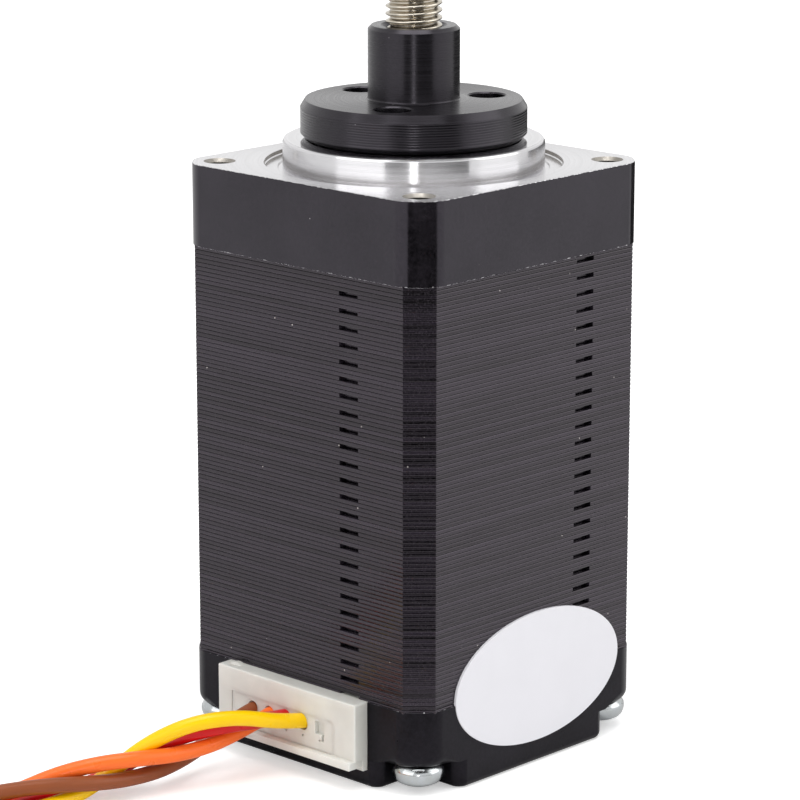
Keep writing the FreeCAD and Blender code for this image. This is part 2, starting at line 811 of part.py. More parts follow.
def lead_screw():
    """Screw whose thread is drawn as rings at its pitch, with a spigot for the shaft's bore."""
    body = new_body("lead_screw")
    section = new_sketch(body, "XZ_Plane")
    add_outline(section, (
        (None, "spigot_start"), ("shaft_bore", "spigot_start"), ("shaft_bore", "shaft_end"),
        ("crest_radius", "shaft_end"), ("crest_radius", "screw_shoulder"),
        ("screw_tip_radius", "screw_end"), (None, "screw_end")))
    revolve(body, section)
    groove = new_sketch(body, "XZ_Plane")
    add_outline(groove, (
        ("root_radius", "thread_floor_low"), ("thread_mouth", "thread_low"),
        ("thread_mouth", "thread_high"), ("root_radius", "thread_floor_high")))
    ridge = body.newObject("PartDesign::Groove", "Ridge")
    ridge.Profile = groove
    ridge.ReferenceAxis = (groove, ["V_Axis"])
    ridge.Angle = 360
    along(body, ridge, groove, THREAD_TURNS, f"Spec.lead * {THREAD_TURNS - 1}")


def rotor_rings():
    """Magnets, spacer and bearing shims on the shaft."""
    magnets = [
        ring("magnet_radius", "shaft_radius", "magnet_length", z)
        for z in ("magnet_one", "magnet_two")
    ]
    keep(compound(magnets), "rotor_magnets")
    keep(ring("spacer_radius", "shaft_radius", "spacer_length", "spacer_start"), "rotor_spacer")
    shims = [
        ring("shim_radius", "shaft_radius", "rear_shim_length", "rear_bearing_top"),
        ring("shim_radius", "shaft_radius", "front_shim_length", "rotor_end"),
    ]
    keep(compound(shims), "bearing_shims")


def flange_nut():
    """Round nut with a hub and a flange with three holes."""
    body = new_body("flange_nut")
    section = new_sketch(body, "XZ_Plane")
    add_outline(section, (
        ("nut_bore", "nut_bottom"), ("flange_foot_radius", "nut_bottom"), ("flange_radius", "flange_foot"),
        ("flange_radius", "flange_shoulder"), ("flange_top_radius", "flange_top"),
        ("hub_radius", "flange_top"), ("hub_radius", "hub_shoulder"), ("hub_top_radius", "hub_top"),
        ("nut_mouth_radius", "hub_top"), ("nut_bore", "nut_mouth_floor")))
    revolve(body, section)
    spot = new_sketch(body, height="flange_top")
    add_circle(spot, "nut_hole_radius")
    spot.setExpression("AttachmentOffset.Base.x", f"Spec.nut_hole_circle * cos({NUT_HOLE_TURN} deg)")
    spot.setExpression("AttachmentOffset.Base.y", f"Spec.nut_hole_circle * sin({NUT_HOLE_TURN} deg)")
    around(body, pocket(body, spot), NUT_HOLES)


# Connector

def way_box(x, half, length, height, y, z):
    """Make a box that is centred on one of the connector's ways."""
    item = box(half, length, height, y=y, z=z)
    item.setExpression(".Placement.Base.x", f"{x} - Spec.{half} / 2")
    return item


def connector():
    """Header with its plate, lip and pins, the plug in it and the crimped contacts of the wired ways."""
    pins = [way_box(x, "pin_width", "pin_length", "pin_width", "-pin_tip", "pin_bottom") for x in WAYS]
    keep(compound(pins), "header_pins")
    base = box(
        "header_width", "header_depth", "header_height",
        "-header_half", "-plate_back", "header_bottom")
    plate = box("header_width", "plate_depth", "plate_height", "-header_half", "-plate_front", "plate_bottom")
    lip = box("header_width", "lip_depth", "lip_height", "-header_half", "-lip_front", "lip_bottom")
    knob = cylinder("knob_radius", "knob_depth")
    knob.Placement.Rotation = FreeCAD.Rotation(Vector(1, 0, 0), 90)
    place(knob, "knob_x", "-plate_back", "knob_z")
    mouth = box("mouth_width", "mouth_depth", "mouth_height", "-mouth_left", "-lip_front", "mouth_bottom")
    keep(cut(fuse(base, plate, lip, knob), mouth, compound(pins)), "connector_header")
    block = box("plug_width", "plug_depth", "plug_height", "-plug_left", "-plug_front", "plug_bottom")
    cavities = [
        way_box(x, "cavity_width", "plug_depth", "cavity_width", "-plug_front", "cavity_bottom") for x in WAYS
    ]
    keep(cut(block, compound(cavities)), "plug_housing")
    contacts = [
        way_box(x, "contact_width", "contact_depth", "contact_width", "-contact_front", "contact_bottom")
        for x in WAYS[:len(WIRES)]
    ]
    keep(compound([cut(contact, compound(pins)) for contact in contacts]), "crimp_contacts")


# Leads

def rounded_path(points):
    """Join straight runs by arcs as large as the runs allow; the radii are printed."""
    edges = []
    radii = []
    start = points[0]
    for before, corner, after in zip(points, points[1:], points[2:]):
        back = before - corner
        ahead = after - corner
        half_turn = (math.pi - back.getAngle(ahead)) / 2
        reach = 0.45 * min(back.Length, ahead.Length)
        radii.append(reach / math.tan(half_turn))
        back.normalize()
        ahead.normalize()
        first = corner + back * reach
        last = corner + ahead * reach
        middle_way = back + ahead
        middle_way.normalize()
        sagitta = radii[-1] / math.cos(half_turn) - radii[-1]
        middle = corner + middle_way * sagitta
        edges.append(Part.LineSegment(start, first).toShape())
        edges.append(Part.Arc(first, middle, last).toShape())
        start = last
    edges.append(Part.LineSegment(start, points[-1]).toShape())
    return Part.Wire(edges), radii


def tube(points):
    """Sweep a wire's round section along its route."""
    path, radii = rounded_path(points)
    section = Part.Wire(Part.Circle(points[0], points[1] - points[0], size("wire_radius")).toShape())
    solid = path.makePipeShell([section], True, False)
    expected = math.pi * size("wire_radius") ** 2 * path.Length
    ratio = solid.Volume / expected
    print(f"length {path.Length:.1f}, least radius {min(radii):.1f}, volume ratio {ratio:.4f}")
    return solid


def coil_point(radius, angle, z):
    """Give a point by its radius and angle about the coil's middle."""
    flat = FreeCAD.Rotation(UP, angle).multVec(Vector(radius, 0, 0))
    return Vector(flat.x, size("coil_centre_y") + flat.y, z)


def tail_points(layer):
    """Give the points of a free end, which leaves the coil inwards and falls to the floor."""
    inner = size("coil_ring_radius") - size("strand_pitch") * size("coil_turns") / 2
    top = size("coil_height") + (layer - 1.5) * LAYER_STEP
    return [
        coil_point(inner - fan * (layer + 0.6), angle, top - fall * (top - size("wire_radius")))
        for angle, fan, fall in zip(TAIL_ANGLES, TAIL_FAN, TAIL_FALL)
    ]


def leads():
    """Four wires, the coil of their put-away length, its tie and the tinned ends."""
    tips = []
    wires = []
    for colour, wire in WIRES.items():
        print(colour)
        tail = tail_points(wire["layer"])
        item = doc.addObject("Part::Feature", f"lead_wire_{colour}")
        item.Shape = Part.Compound([tube([Vector(*point) for point in wire["route"]]), tube(tail)])
        wires.append(keep(item, f"lead_wire_{colour}"))
        tip = doc.addObject("Part::Cylinder", "Tip")
        tip.setExpression("Radius", cell("tinned_radius"))
        tip.setExpression("Height", cell("tinned_length"))
        tip.Placement = FreeCAD.Placement(tail[-1], FreeCAD.Rotation(UP, tail[-1] - tail[-2]))
        tips.append(tip)
    keep(compound(tips), "tinned_ends")
    hank = place(torus("coil_ring_radius", "coil_section"), y="coil_centre_y", z="coil_height")
    keep(cut(hank, *wires), "lead_coil")
    band = place(torus("coil_ring_radius", "coil_height"), y="coil_centre_y", z="coil_height")
    core = place(torus("coil_ring_radius", "coil_section"), y="coil_centre_y", z="coil_height")
    for item in (band, core):
        item.setExpression("Angle3", cell("tie_angle"))
        item.setExpression(".Placement.Rotation.Angle", f"{TIE_TURN} deg")
    keep(cut(band, core), "coil_tie")


def write_parts():
    """Check every object and write each sub-part to its own file."""
    doc.recompute()
    failed = [item.Name for item in doc.Objects if {"Invalid", "Error"} & set(item.State)]
    failed += [item.Label for item in sub_parts if item.Shape.isNull() or not item.Shape.isValid()]
    if failed:
        raise RuntimeError(f"failed: {failed}")
    os.makedirs("parts", exist_ok=True)
    for item in sub_parts:
        item.Shape.exportStep(f"parts/{item.Label}.step")
        print(f"{item.Label}: {len(item.Shape.Solids)} solids, {item.Shape.Volume:.2f} mm3")


fill_sheet()
front_end_cap()
rear_end_cap()
stator_core()
winding_insulator("front_winding_insulator", "stack_top")
winding_insulator("rear_winding_insulator", "rear_insulator")
phase_coils("phase_a_coils", 0)
phase_coils("phase_b_coils", 1)
case_screws()
blank_label()
shields = bearing("front", "front_bearing") + bearing("rear", "rear_bearing")
keep(compound(shields), "bearing_shields")
keep(ring("washer_outer", "washer_bore", "washer_thickness", "rear_floor"), "wave_washer")
keep(ring("board_radius", "board_bore", "board_thickness", "board_bottom"), "terminal_board")
rotor_shaft()
rotor_cups()
lead_screw()
rotor_rings()
flange_nut()
connector()
leads()
write_parts()
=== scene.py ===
"""Looks of an external linear stepper motor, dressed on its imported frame.

The scene is in metres, in the part's own frame: the origin is the middle of the rear face that the motor
stands on, and +Z runs along the lead screw. The classes keep their sizes in millimetres, as a drawing does.
"""
import logging
import math
from abc import ABC, abstractmethod
from collections.abc import Callable, Iterable, Sequence
from dataclasses import dataclass, field
from enum import Enum
from typing import Any, ClassVar

import bmesh
import bpy
from mathutils import Matrix, Vector


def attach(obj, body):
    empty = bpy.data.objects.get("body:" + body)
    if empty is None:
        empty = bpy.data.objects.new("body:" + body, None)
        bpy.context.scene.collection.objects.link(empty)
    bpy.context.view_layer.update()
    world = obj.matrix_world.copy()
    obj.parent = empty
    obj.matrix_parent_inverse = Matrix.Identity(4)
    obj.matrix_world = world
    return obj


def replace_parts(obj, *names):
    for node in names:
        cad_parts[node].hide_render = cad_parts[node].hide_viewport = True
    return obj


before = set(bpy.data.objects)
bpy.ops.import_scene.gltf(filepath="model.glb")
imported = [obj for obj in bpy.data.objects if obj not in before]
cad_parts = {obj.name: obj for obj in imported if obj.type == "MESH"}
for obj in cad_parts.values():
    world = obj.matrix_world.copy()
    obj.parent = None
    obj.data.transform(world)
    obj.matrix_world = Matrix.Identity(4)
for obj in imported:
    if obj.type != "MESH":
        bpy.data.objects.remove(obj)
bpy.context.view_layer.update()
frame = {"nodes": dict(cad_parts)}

Socket = bpy.types.NodeSocket
Edge = bmesh.types.BMEdge
Face = bmesh.types.BMFace
Span = tuple[float, float]
Point = tuple[float, float, float]

MM = 0.001
FULL_TURN = 2 * math.pi

# How far a cutting tool reaches past the stock, in millimetres.
OVER = 1.0

# The stack of sheets: where it starts, and how far one sheet is from the next, in millimetres.
STACK_FOOT = 7.325
SHEET_PITCH = 0.3545

# Between these two lie nearly all the values of a noise pattern.
NOISE_SPAN = (0.3, 0.7)

log = logging.getLogger("motor")


class Body(Enum):
    """The bodies of the frame that pieces ride on."""

    MOTOR = "motor"
    ROTOR = "rotor"
    NUT = "nut"


class Join(Enum):
    """How a tool is combined with the stock."""

    CUT = "DIFFERENCE"
    WELD = "UNION"


def to_linear(colour: str) -> tuple[float, float, float, float]:
    """Turn an sRGB hex colour into linear light.

    Args:
        colour: six hex digits after a hash mark.

    Returns:
        Red, green, blue and an alpha of one.
    """
    parts = [int(colour[at:at + 2], 16) / 255 for at in (1, 3, 5)]
    red, green, blue = (
        part / 12.92 if part <= 0.04045 else ((part + 0.055) / 1.055) ** 2.4
        for part in parts
    )
    return red, green, blue, 1.0


def per_mm(size: float) -> float:
    """Give the texture scale at which one cell of a pattern is `size` millimetres."""
    return 1 / (size * MM)


def placed(name: str, data: bpy.types.ID) -> bpy.types.Object:
    """Put a mesh, curve, lamp or camera into the scene.

    Args:
        name: the object's name.
        data: what it shows.

    Returns:
        The object, at the origin.
    """
    item = bpy.data.objects.new(name, data)
    bpy.context.scene.collection.objects.link(item)
    return item


class Nodes:
    """A node tree that is filled one node at a time."""

    def __init__(self, tree: bpy.types.NodeTree) -> None:
        """Take the tree that is to be filled."""
        self.tree = tree

    def fill(self, node: bpy.types.Node, inputs: dict[str | int, Any]) -> None:
        """Set or link a node's inputs.

        Args:
            node: the node.
            inputs: values, or outputs of other nodes, by the socket's name or number.
        """
        for socket, value in inputs.items():
            if isinstance(value, Socket):
                self.tree.links.new(value, node.inputs[socket])
            else:
                node.inputs[socket].default_value = value

    def add(self, kind: str, inputs: dict[str | int, Any] | None = None, **settings: Any) -> bpy.types.Node:
        """Add a node with its settings, and set or link its inputs.

        Args:
            kind: the node's type.
            inputs: values, or outputs of other nodes, by the socket's name or number.
            **settings: the node's own properties.

        Returns:
            The new node.
        """
        node = self.tree.nodes.new(kind)
        for name, value in settings.items():
            setattr(node, name, value)
        self.fill(node, inputs or {})
        return node


class Graph(Nodes):
    """A material's node tree, with its shader and the object's own coordinates."""

    def __init__(self, name: str) -> None:
        """Start a material whose tree has a shader and nothing on it.

        Args:
            name: the material's name.
        """
        self.material = bpy.data.materials.new(name)
        self.material.use_nodes = True
        super().__init__(self.material.node_tree)
        self.tree.nodes.clear()
        self.shader = self.add("ShaderNodeBsdfPrincipled")
        self.add("ShaderNodeOutputMaterial", {"Surface": self.shader.outputs["BSDF"]})
        self.place = self.add("ShaderNodeTexCoord").outputs["Object"]

    def dress(self, **inputs: Any) -> None:
        """Set or link the shader's inputs; an underscore in a name stands for a space."""
        self.fill(self.shader, {name.replace("_", " "): value for name, value in inputs.items()})

    def shaded(self, colour: str, pattern: Socket, tone: Span, span: Span = NOISE_SPAN) -> Socket:
        """Make a colour darker and lighter by a pattern.

        Args:
            colour: the colour, as sRGB hex.
            pattern: the pattern's output.
            tone: the shares of the colour at the pattern's low and high end.
            span: the pattern's values at those ends.

        Returns:
            The output of the shaded colour.
        """
        level = self.add("ShaderNodeMapRange", {
            "Value": pattern, "From Min": span[0], "From Max": span[1], "To Min": tone[0], "To Max": tone[1]})
        shade = self.add("ShaderNodeVectorMath", {
            0: to_linear(colour)[:3], "Scale": level.outputs["Result"]}, operation="SCALE")
        return shade.outputs[0]

    def specked(self, colour: Socket, speck: str, spacing: float, share: float) -> Socket:
        """Scatter small specks over a colour.

        Args:
            colour: the output of the colour under them.
            speck: their own colour, as sRGB hex.
            spacing: how far apart they are, in millimetres.
            share: a speck's radius as a share of that.

        Returns:
            The output of both colours together.
        """
        cells = self.add("ShaderNodeTexVoronoi", {"Vector": self.place, "Scale": per_mm(spacing)})
        inside = self.add("ShaderNodeMath", {0: cells.outputs["Distance"], 1: share}, operation="LESS_THAN")
        both = self.add("ShaderNodeMix", {
            "Factor": inside.outputs[0], "A": colour, "B": to_linear(speck)}, data_type="RGBA")
        return both.outputs[2]

    def turned(self, ring: float, detail: float, roughness: float, stretch: float) -> Socket:
        """Draw the rings that a tool leaves about the screw axis, and stretch the gloss across them.

        Args:
            ring: the width of a ring in millimetres.
            detail: how many finer rings there are in it.
            roughness: how strong the finer ones are.
            stretch: how far the gloss is stretched.

        Returns:
            The output of the rings.
        """
        parts = self.add("ShaderNodeSeparateXYZ", {"Vector": self.place}).outputs
        flat = self.add("ShaderNodeCombineXYZ", {"X": parts["X"], "Y": parts["Y"]})
        radius = self.add("ShaderNodeVectorMath", {0: flat.outputs["Vector"]}, operation="LENGTH")
        along = self.add("ShaderNodeCombineXYZ", {"X": radius.outputs["Value"], "Y": parts["Z"]})
        rings = self.add("ShaderNodeTexNoise", {
            "Vector": along.outputs["Vector"], "Scale": per_mm(ring), "Detail": detail,
            "Roughness": roughness}, noise_dimensions="2D")
        lay = self.add("ShaderNodeTangent", direction_type="RADIAL", axis="Z")
        self.dress(Anisotropic=stretch, Anisotropic_Rotation=0.25, Tangent=lay.outputs["Tangent"])
        return rings.outputs["Fac"]

    def worked(
            self, gloss: Socket, rough: Span, relief: Socket, strength: float, depth: float,
            span: Span = NOISE_SPAN) -> None:
        """Vary the gloss by one pattern and raise another as relief.

        Args:
            gloss: the output of the pattern in the gloss.
            rough: the roughness at that pattern's low and high end.
            relief: the output of the pattern in the relief.
            strength: how much of the relief shows.
            depth: how deep it is, in millimetres.
            span: the values of the pattern in the gloss at its ends.
        """
        level = self.add("ShaderNodeMapRange", {
            "Value": gloss, "From Min": span[0], "From Max": span[1], "To Min": rough[0], "To Max": rough[1]})
        bump = self.add("ShaderNodeBump", {"Height": relief, "Strength": strength, "Distance": depth * MM})
        self.dress(Roughness=level.outputs["Result"], Normal=bump.outputs["Normal"])


@dataclass(frozen=True)
class Finish(ABC):
    """A real surface: what it is made of and how it was made."""

    name: str
    colour: str
    roughness: float
    made: ClassVar[dict[str, bpy.types.Material]] = {}

    def material(self) -> bpy.types.Material:
        """Make the material when it is first asked for.

        Returns:
            The one material of this finish.
        """
        if self.name not in self.made:
            graph = Graph(self.name)
            graph.dress(Roughness=self.roughness)
            self.draw(graph)
            self.made[self.name] = graph.material
        return self.made[self.name]

    def rough(self, less: float, more: float) -> Span:
        """Give the roughness with a little less and a little more of it."""
        return self.roughness - less, self.roughness + more

    @abstractmethod
    def draw(self, graph: Graph) -> None:
        """Add the surface's pattern to its tree."""


@dataclass(frozen=True)
class BlackPaint(Finish):
    """Baked black paint on cast aluminium: satin, a little uneven, and chipped to bright metal at its edges.

    The flecks and the chips of such paint are finer than a tenth of a millimetre. They are drawn three times
    as coarse, because they wouldn't show otherwise.
    """

    shine: float = 0.5
    edges: tuple[Span, ...] = ()
    bare: str = "#d3d2d4"
    dust: str = "#8d8a8c"
    sheen: str = "#f6edff"
    mottle_size: float = 6.0
    fleck_size: float = 0.3
    peel_size: float = 0.5
    peel_depth: float = 0.02
    dust_spacing: float = 2.6
    dust_share: float = 0.022
    chip_size: float = 0.32
    chip_reach: float = 0.2
    chip_fade: float = 0.56
    chip_level: float = 0.78

    def draw(self, graph: Graph) -> None:
        """Draw the paint's mottle, its orange peel, specks of dust, and the chips at the worn edges.

        Args:
            graph: the material's tree.
        """
        mottle = graph.add("ShaderNodeTexNoise", {
            "Vector": graph.place, "Scale": per_mm(self.mottle_size), "Detail": 4.0,
            "Roughness": 0.6}).outputs["Fac"]
        fleck = graph.add("ShaderNodeTexNoise", {
            "Vector": graph.place, "Scale": per_mm(self.fleck_size), "Detail": 3.0,
            "Roughness": 0.6}).outputs["Fac"]
        both = graph.add("ShaderNodeMath", {0: mottle, 1: fleck}, operation="ADD")
        paint = graph.shaded(self.colour, both.outputs[0], (0.2, 2.0), (0.75, 1.3))
        colour = graph.specked(paint, self.dust, self.dust_spacing, self.dust_share)
        if self.edges:
            chips = self.chips(graph)
            worn = graph.add("ShaderNodeMix", {
                "Factor": chips, "A": colour, "B": to_linear(self.bare)}, data_type="RGBA")
            colour = worn.outputs[2]
            graph.dress(Metallic=chips)
        peel = graph.add("ShaderNodeTexNoise", {
            "Vector": graph.place, "Scale": per_mm(self.peel_size), "Detail": 2.0}).outputs["Fac"]
        graph.worked(mottle, self.rough(0.04, 0.05), peel, 0.12, self.peel_depth)
        graph.dress(Base_Color=colour, Specular_IOR_Level=self.shine, Specular_Tint=to_linear(self.sheen))

    def chips(self, graph: Graph) -> Socket:
        """Draw ragged chips along the edges, which are given by their height and their wear.

        Args:
            graph: the material's tree.

        Returns:
            An output that is one where the paint is off.
        """
        height = graph.add("ShaderNodeSeparateXYZ", {"Vector": graph.place}).outputs["Z"]
        ragged = graph.add("ShaderNodeTexNoise", {
            "Vector": graph.place, "Scale": per_mm(self.chip_size), "Detail": 6.0, "Roughness": 0.7})
        worn = None
        for edge, wear in self.edges:
            above = graph.add("ShaderNodeMath", {0: height, 1: edge * MM}, operation="SUBTRACT")
            away = graph.add("ShaderNodeMath", {0: above.outputs[0]}, operation="ABSOLUTE")
            near = graph.add("ShaderNodeMapRange", {
                "Value": away.outputs[0], "From Min": 0.0, "From Max": self.chip_reach * MM,
                "To Min": wear, "To Max": wear - self.chip_fade}).outputs["Result"]
            worn = near if worn is None else graph.add(
                "ShaderNodeMath", {0: worn, 1: near}, operation="MAXIMUM").outputs[0]
        level = graph.add("ShaderNodeMath", {0: ragged.outputs["Fac"], 1: worn}, operation="ADD")
        chipped = graph.add(
            "ShaderNodeMath", {0: level.outputs[0], 1: self.chip_level}, operation="GREATER_THAN")
        return chipped.outputs[0]


@dataclass(frozen=True)
class TurnedMetal(Finish):
    """Metal cut on a lathe or face mill: bright, with fine rings about the screw axis.

    The tool moves about 0.05 mm with each turn, which is too fine to show, so a ring is drawn 0.12 mm wide.
    """

    ring: float = 0.12
    strength: float = 0.25
    depth: float = 0.012
    cloud_size: float = 5.0

    def draw(self, graph: Graph) -> None:
        """Draw the tool's rings as relief and as bands of gloss, with a faint cloud over them.

        Args:
            graph: the material's tree.
        """
        rings = graph.turned(self.ring, detail=3.0, roughness=0.6, stretch=0.95)
        cloud = graph.add("ShaderNodeTexNoise", {
            "Vector": graph.place, "Scale": per_mm(self.cloud_size), "Detail": 3.0})
        gloss = graph.add("ShaderNodeMath", {0: rings, 1: cloud.outputs["Fac"]}, operation="MULTIPLY")
        rough = (self.roughness * 0.7, self.roughness * 1.3)
        graph.worked(gloss.outputs[0], rough, rings, self.strength, self.depth, span=(0.1, 0.45))
        graph.dress(Metallic=1.0, Base_Color=graph.shaded(self.colour, rings, (0.93, 1.05)))


@dataclass(frozen=True)
class SheetSteel(Finish):
    """Stamped steel sheets under thin black varnish: each sheet a little lighter or darker than the next.

    The shear's grain on a cut edge is about 0.05 mm wide, which is too fine to show, so it is drawn 0.16 mm
    wide.
    """

    nick: str = "#a39d9a"
    sheen: str = "#fff2ff"
    streak_size: float = 12.0
    streak_stretch: float = 24.0
    grain: float = 0.16
    grain_depth: float = 0.02
    nick_spacing: float = 1.9
    nick_share: float = 0.035

    def draw(self, graph: Graph) -> None:
        """Draw a tone for each sheet, streaks along the sheets, grain and a few bright nicks.

        Args:
            graph: the material's tree.
        """
        height = graph.add("ShaderNodeSeparateXYZ", {"Vector": graph.place}).outputs["Z"]
        lifted = graph.add("ShaderNodeMath", {0: height, 1: STACK_FOOT * MM}, operation="SUBTRACT")
        count = graph.add("ShaderNodeMath", {0: lifted.outputs[0], 1: SHEET_PITCH * MM}, operation="DIVIDE")
        whole = graph.add("ShaderNodeMath", {0: count.outputs[0]}, operation="FLOOR")
        tone = graph.add("ShaderNodeTexWhiteNoise", {"W": whole.outputs[0]}, noise_dimensions="1D")
        drawn_out = graph.add("ShaderNodeMapping", {
            "Vector": graph.place, "Scale": (1.0, 1.0, self.streak_stretch)})
        streaks = graph.add("ShaderNodeTexNoise", {
            "Vector": drawn_out.outputs["Vector"], "Scale": per_mm(self.streak_size), "Detail": 6.0,
            "Roughness": 0.7})
        streak = graph.add("ShaderNodeMapRange", {
            "Value": streaks.outputs["Fac"], "From Min": NOISE_SPAN[0], "From Max": NOISE_SPAN[1],
            "To Min": 0.0, "To Max": 0.8})
        grain = graph.add("ShaderNodeTexNoise", {
            "Vector": graph.place, "Scale": per_mm(self.grain), "Detail": 2.0}).outputs["Fac"]
        mix = graph.add("ShaderNodeMath", {
            0: tone.outputs["Value"], 1: streak.outputs["Result"]}, operation="ADD")
        mix = graph.add("ShaderNodeMath", {0: mix.outputs[0], 1: grain}, operation="ADD")
        varnish = graph.shaded(self.colour, mix.outputs[0], (0.2, 3.0), (0.8, 2.1))
        graph.worked(grain, self.rough(0.08, 0.08), grain, 0.25, self.grain_depth)
        graph.dress(
            Base_Color=graph.specked(varnish, self.nick, self.nick_spacing, self.nick_share),
            Specular_IOR_Level=0.5, Specular_Tint=to_linear(self.sheen))


@dataclass(frozen=True)
class Moulded(Finish):
    """Moulded plastic: even, with a fine spark-eroded grain and a faint cloud in its colour.

    The grain of such a mould is about 0.03 mm wide, which is too fine to show, so it is drawn 0.12 mm wide.
    """

    grain: float = 0.12
    grain_depth: float = 0.012
    cloud: float = 0.06
    cloud_size: float = 3.0
    glow: float = 0.0
    glow_depth: float = 1.2

    def draw(self, graph: Graph) -> None:
        """Draw the grain as relief and a faint cloud in the colour; a milky plastic lets light in.

        Args:
            graph: the material's tree.
        """
        cloud = graph.add("ShaderNodeTexNoise", {
            "Vector": graph.place, "Scale": per_mm(self.cloud_size), "Detail": 3.0})
        grain = graph.add("ShaderNodeTexNoise", {
            "Vector": graph.place, "Scale": per_mm(self.grain), "Detail": 2.0}).outputs["Fac"]
        graph.worked(grain, self.rough(0.05, 0.05), grain, 0.15, self.grain_depth)
        graph.dress(
            Base_Color=graph.shaded(self.colour, cloud.outputs["Fac"], (1 - self.cloud, 1 + self.cloud)),
            IOR=1.52, Subsurface_Weight=self.glow, Subsurface_Radius=(0.9, 0.95, 1.0),
            Subsurface_Scale=self.glow_depth * MM)


@dataclass(frozen=True)
class TurnedPlastic(Finish):
    """Black plastic bar cut on a lathe: satin, with the tool's fine rings still on it.

    The tool moves about 0.1 mm with each turn, which is too fine to show, so a ring is drawn 0.22 mm wide.
    """

    ring: float = 0.22
    depth: float = 0.02
    dust: str = "#7d7a7c"
    sheen: str = "#f8f0ff"
    dust_spacing: float = 1.7
    dust_share: float = 0.024

    def draw(self, graph: Graph) -> None:
        """Draw the tool's rings as bands of gloss and relief, and a little grey dust.

        Args:
            graph: the material's tree.
        """
        rings = graph.turned(self.ring, detail=4.0, roughness=0.7, stretch=0.6)
        bar = graph.shaded(self.colour, rings, (0.8, 1.2))
        graph.worked(rings, self.rough(0.04, 0.05), rings, 0.12, self.depth)
        graph.dress(
            Base_Color=graph.specked(bar, self.dust, self.dust_spacing, self.dust_share),
            IOR=1.48, Specular_Tint=to_linear(self.sheen))


@dataclass(frozen=True)
class PlainMetal(Finish):
    """Rolled, plated or ground metal: bright, with a soft cloud in its tint and a fine grain in its gloss.

    The grain of plating or grinding is finer than 0.05 mm and wouldn't show, so it is drawn up to 0.3 mm
    wide.
    """

    tint: str = "#ffffff"
    cloud_size: float = 1.6
    grain: float = 0.3
    grain_depth: float = 0.01

    def draw(self, graph: Graph) -> None:
        """Draw the cloud in the tint, and the grain in the gloss and the relief.

        Args:
            graph: the material's tree.
        """
        cloud = graph.add("ShaderNodeTexNoise", {
            "Vector": graph.place, "Scale": per_mm(self.cloud_size), "Detail": 4.0, "Roughness": 0.6})
        grain = graph.add("ShaderNodeTexNoise", {
            "Vector": graph.place, "Scale": per_mm(self.grain), "Detail": 2.0}).outputs["Fac"]
        colour = graph.add("ShaderNodeMix", {
            "Factor": cloud.outputs["Fac"], "A": to_linear(self.colour), "B": to_linear(self.tint)},
            data_type="RGBA")
        rough = (self.roughness * 0.7, self.roughness * 1.35)
        graph.worked(grain, rough, grain, 0.12, self.grain_depth)
        graph.dress(Base_Color=colour.outputs[2], Metallic=1.0)


@dataclass(frozen=True)
class Sheath(Finish):
    """Extruded soft PVC on a stranded wire: faintly rippled, with a slight change of tone along it."""

    tone_size: float = 7.0
    ripple: float = 1.4
    ripple_depth: float = 0.03
    glow_depth: float = 0.3

    def draw(self, graph: Graph) -> None:
        """Draw the ripple as relief and the slow change of tone.

        Args:
            graph: the material's tree.
        """
        slow = graph.add("ShaderNodeTexNoise", {
            "Vector": graph.place, "Scale": per_mm(self.tone_size), "Detail": 2.0})
        ripple = graph.add("ShaderNodeTexNoise", {
            "Vector": graph.place, "Scale": per_mm(self.ripple), "Detail": 3.0}).outputs["Fac"]
        graph.worked(ripple, self.rough(0.04, 0.06), ripple, 0.08, self.ripple_depth)
        graph.dress(
            Base_Color=graph.shaded(self.colour, slow.outputs["Fac"], (0.92, 1.06)), IOR=1.53,
            Specular_IOR_Level=0.28, Subsurface_Weight=0.08, Subsurface_Radius=(1.0, 0.6, 0.3),
            Subsurface_Scale=self.glow_depth * MM)


@dataclass(frozen=True)
class Windings(Finish):
    """Enamelled copper wire wound in layers: glossy brown, with a ridge for each turn and painted shade in
    the crease between turns.
    """

    # The dark colour in the creases between turns is painted shade.
    crease_shade: str = "#4d1f0c"
    turn: float = 0.3
    ridge: float = 0.08

    def draw(self, graph: Graph) -> None:
        """Draw the turns as waves in relief, with painted shade in the creases between them.

        Args:
            graph: the material's tree.
        """
        turns = graph.add("ShaderNodeTexWave", {
            "Vector": graph.place, "Scale": per_mm(self.turn) / FULL_TURN, "Distortion": 0.6, "Detail": 1.0},
            bands_direction="X")
        colour = graph.add("ShaderNodeMix", {
            "Factor": turns.outputs["Fac"], "A": to_linear(self.crease_shade), "B": to_linear(self.colour)},
            data_type="RGBA")
        bump = graph.add("ShaderNodeBump", {
            "Height": turns.outputs["Fac"], "Strength": 0.6, "Distance": self.ridge * MM})
        graph.dress(
            Base_Color=colour.outputs[2], Normal=bump.outputs["Normal"], Metallic=0.6, Coat_Weight=0.5)


# Satin black that mirrors a pale room softly, with bright chips along its two rims.
FRONT_PAINT = BlackPaint(
    "baked_black_paint_front", "#131114", 0.15, shine=0.47, edges=((50.0, 0.36), (43.0, 0.42)))
# The same paint, darker and with less gloss: painted shade that stands in for the shaded floor near the foot,
# which this low cap mirrors; few chips along its upper rim.
REAR_PAINT_SHADED = BlackPaint("baked_black_paint_rear_shaded", "#0e0d10", 0.3, shine=0.17, edges=((7.5, 0.2),))
# Pale grey metal whose rings turn the light into soft fans.
MILLED = TurnedMetal("machined_aluminium", "#d6d5d7", 0.2)
# The same metal from a sharper tool, so that its fans are narrow and bright.
FACED = TurnedMetal("faced_aluminium", "#d6d5d7", 0.07, strength=0.05)
# Rough cut walls in the tapped holes and round the shallow ring, darker and warmer than the face: painted
# shade for the holes' depths and for the dark nut that the ring's wall mirrors.
CUT_WALL_SHADED = PlainMetal("cut_aluminium_wall_shaded", "#a39f99", 0.4, tint="#827d76")
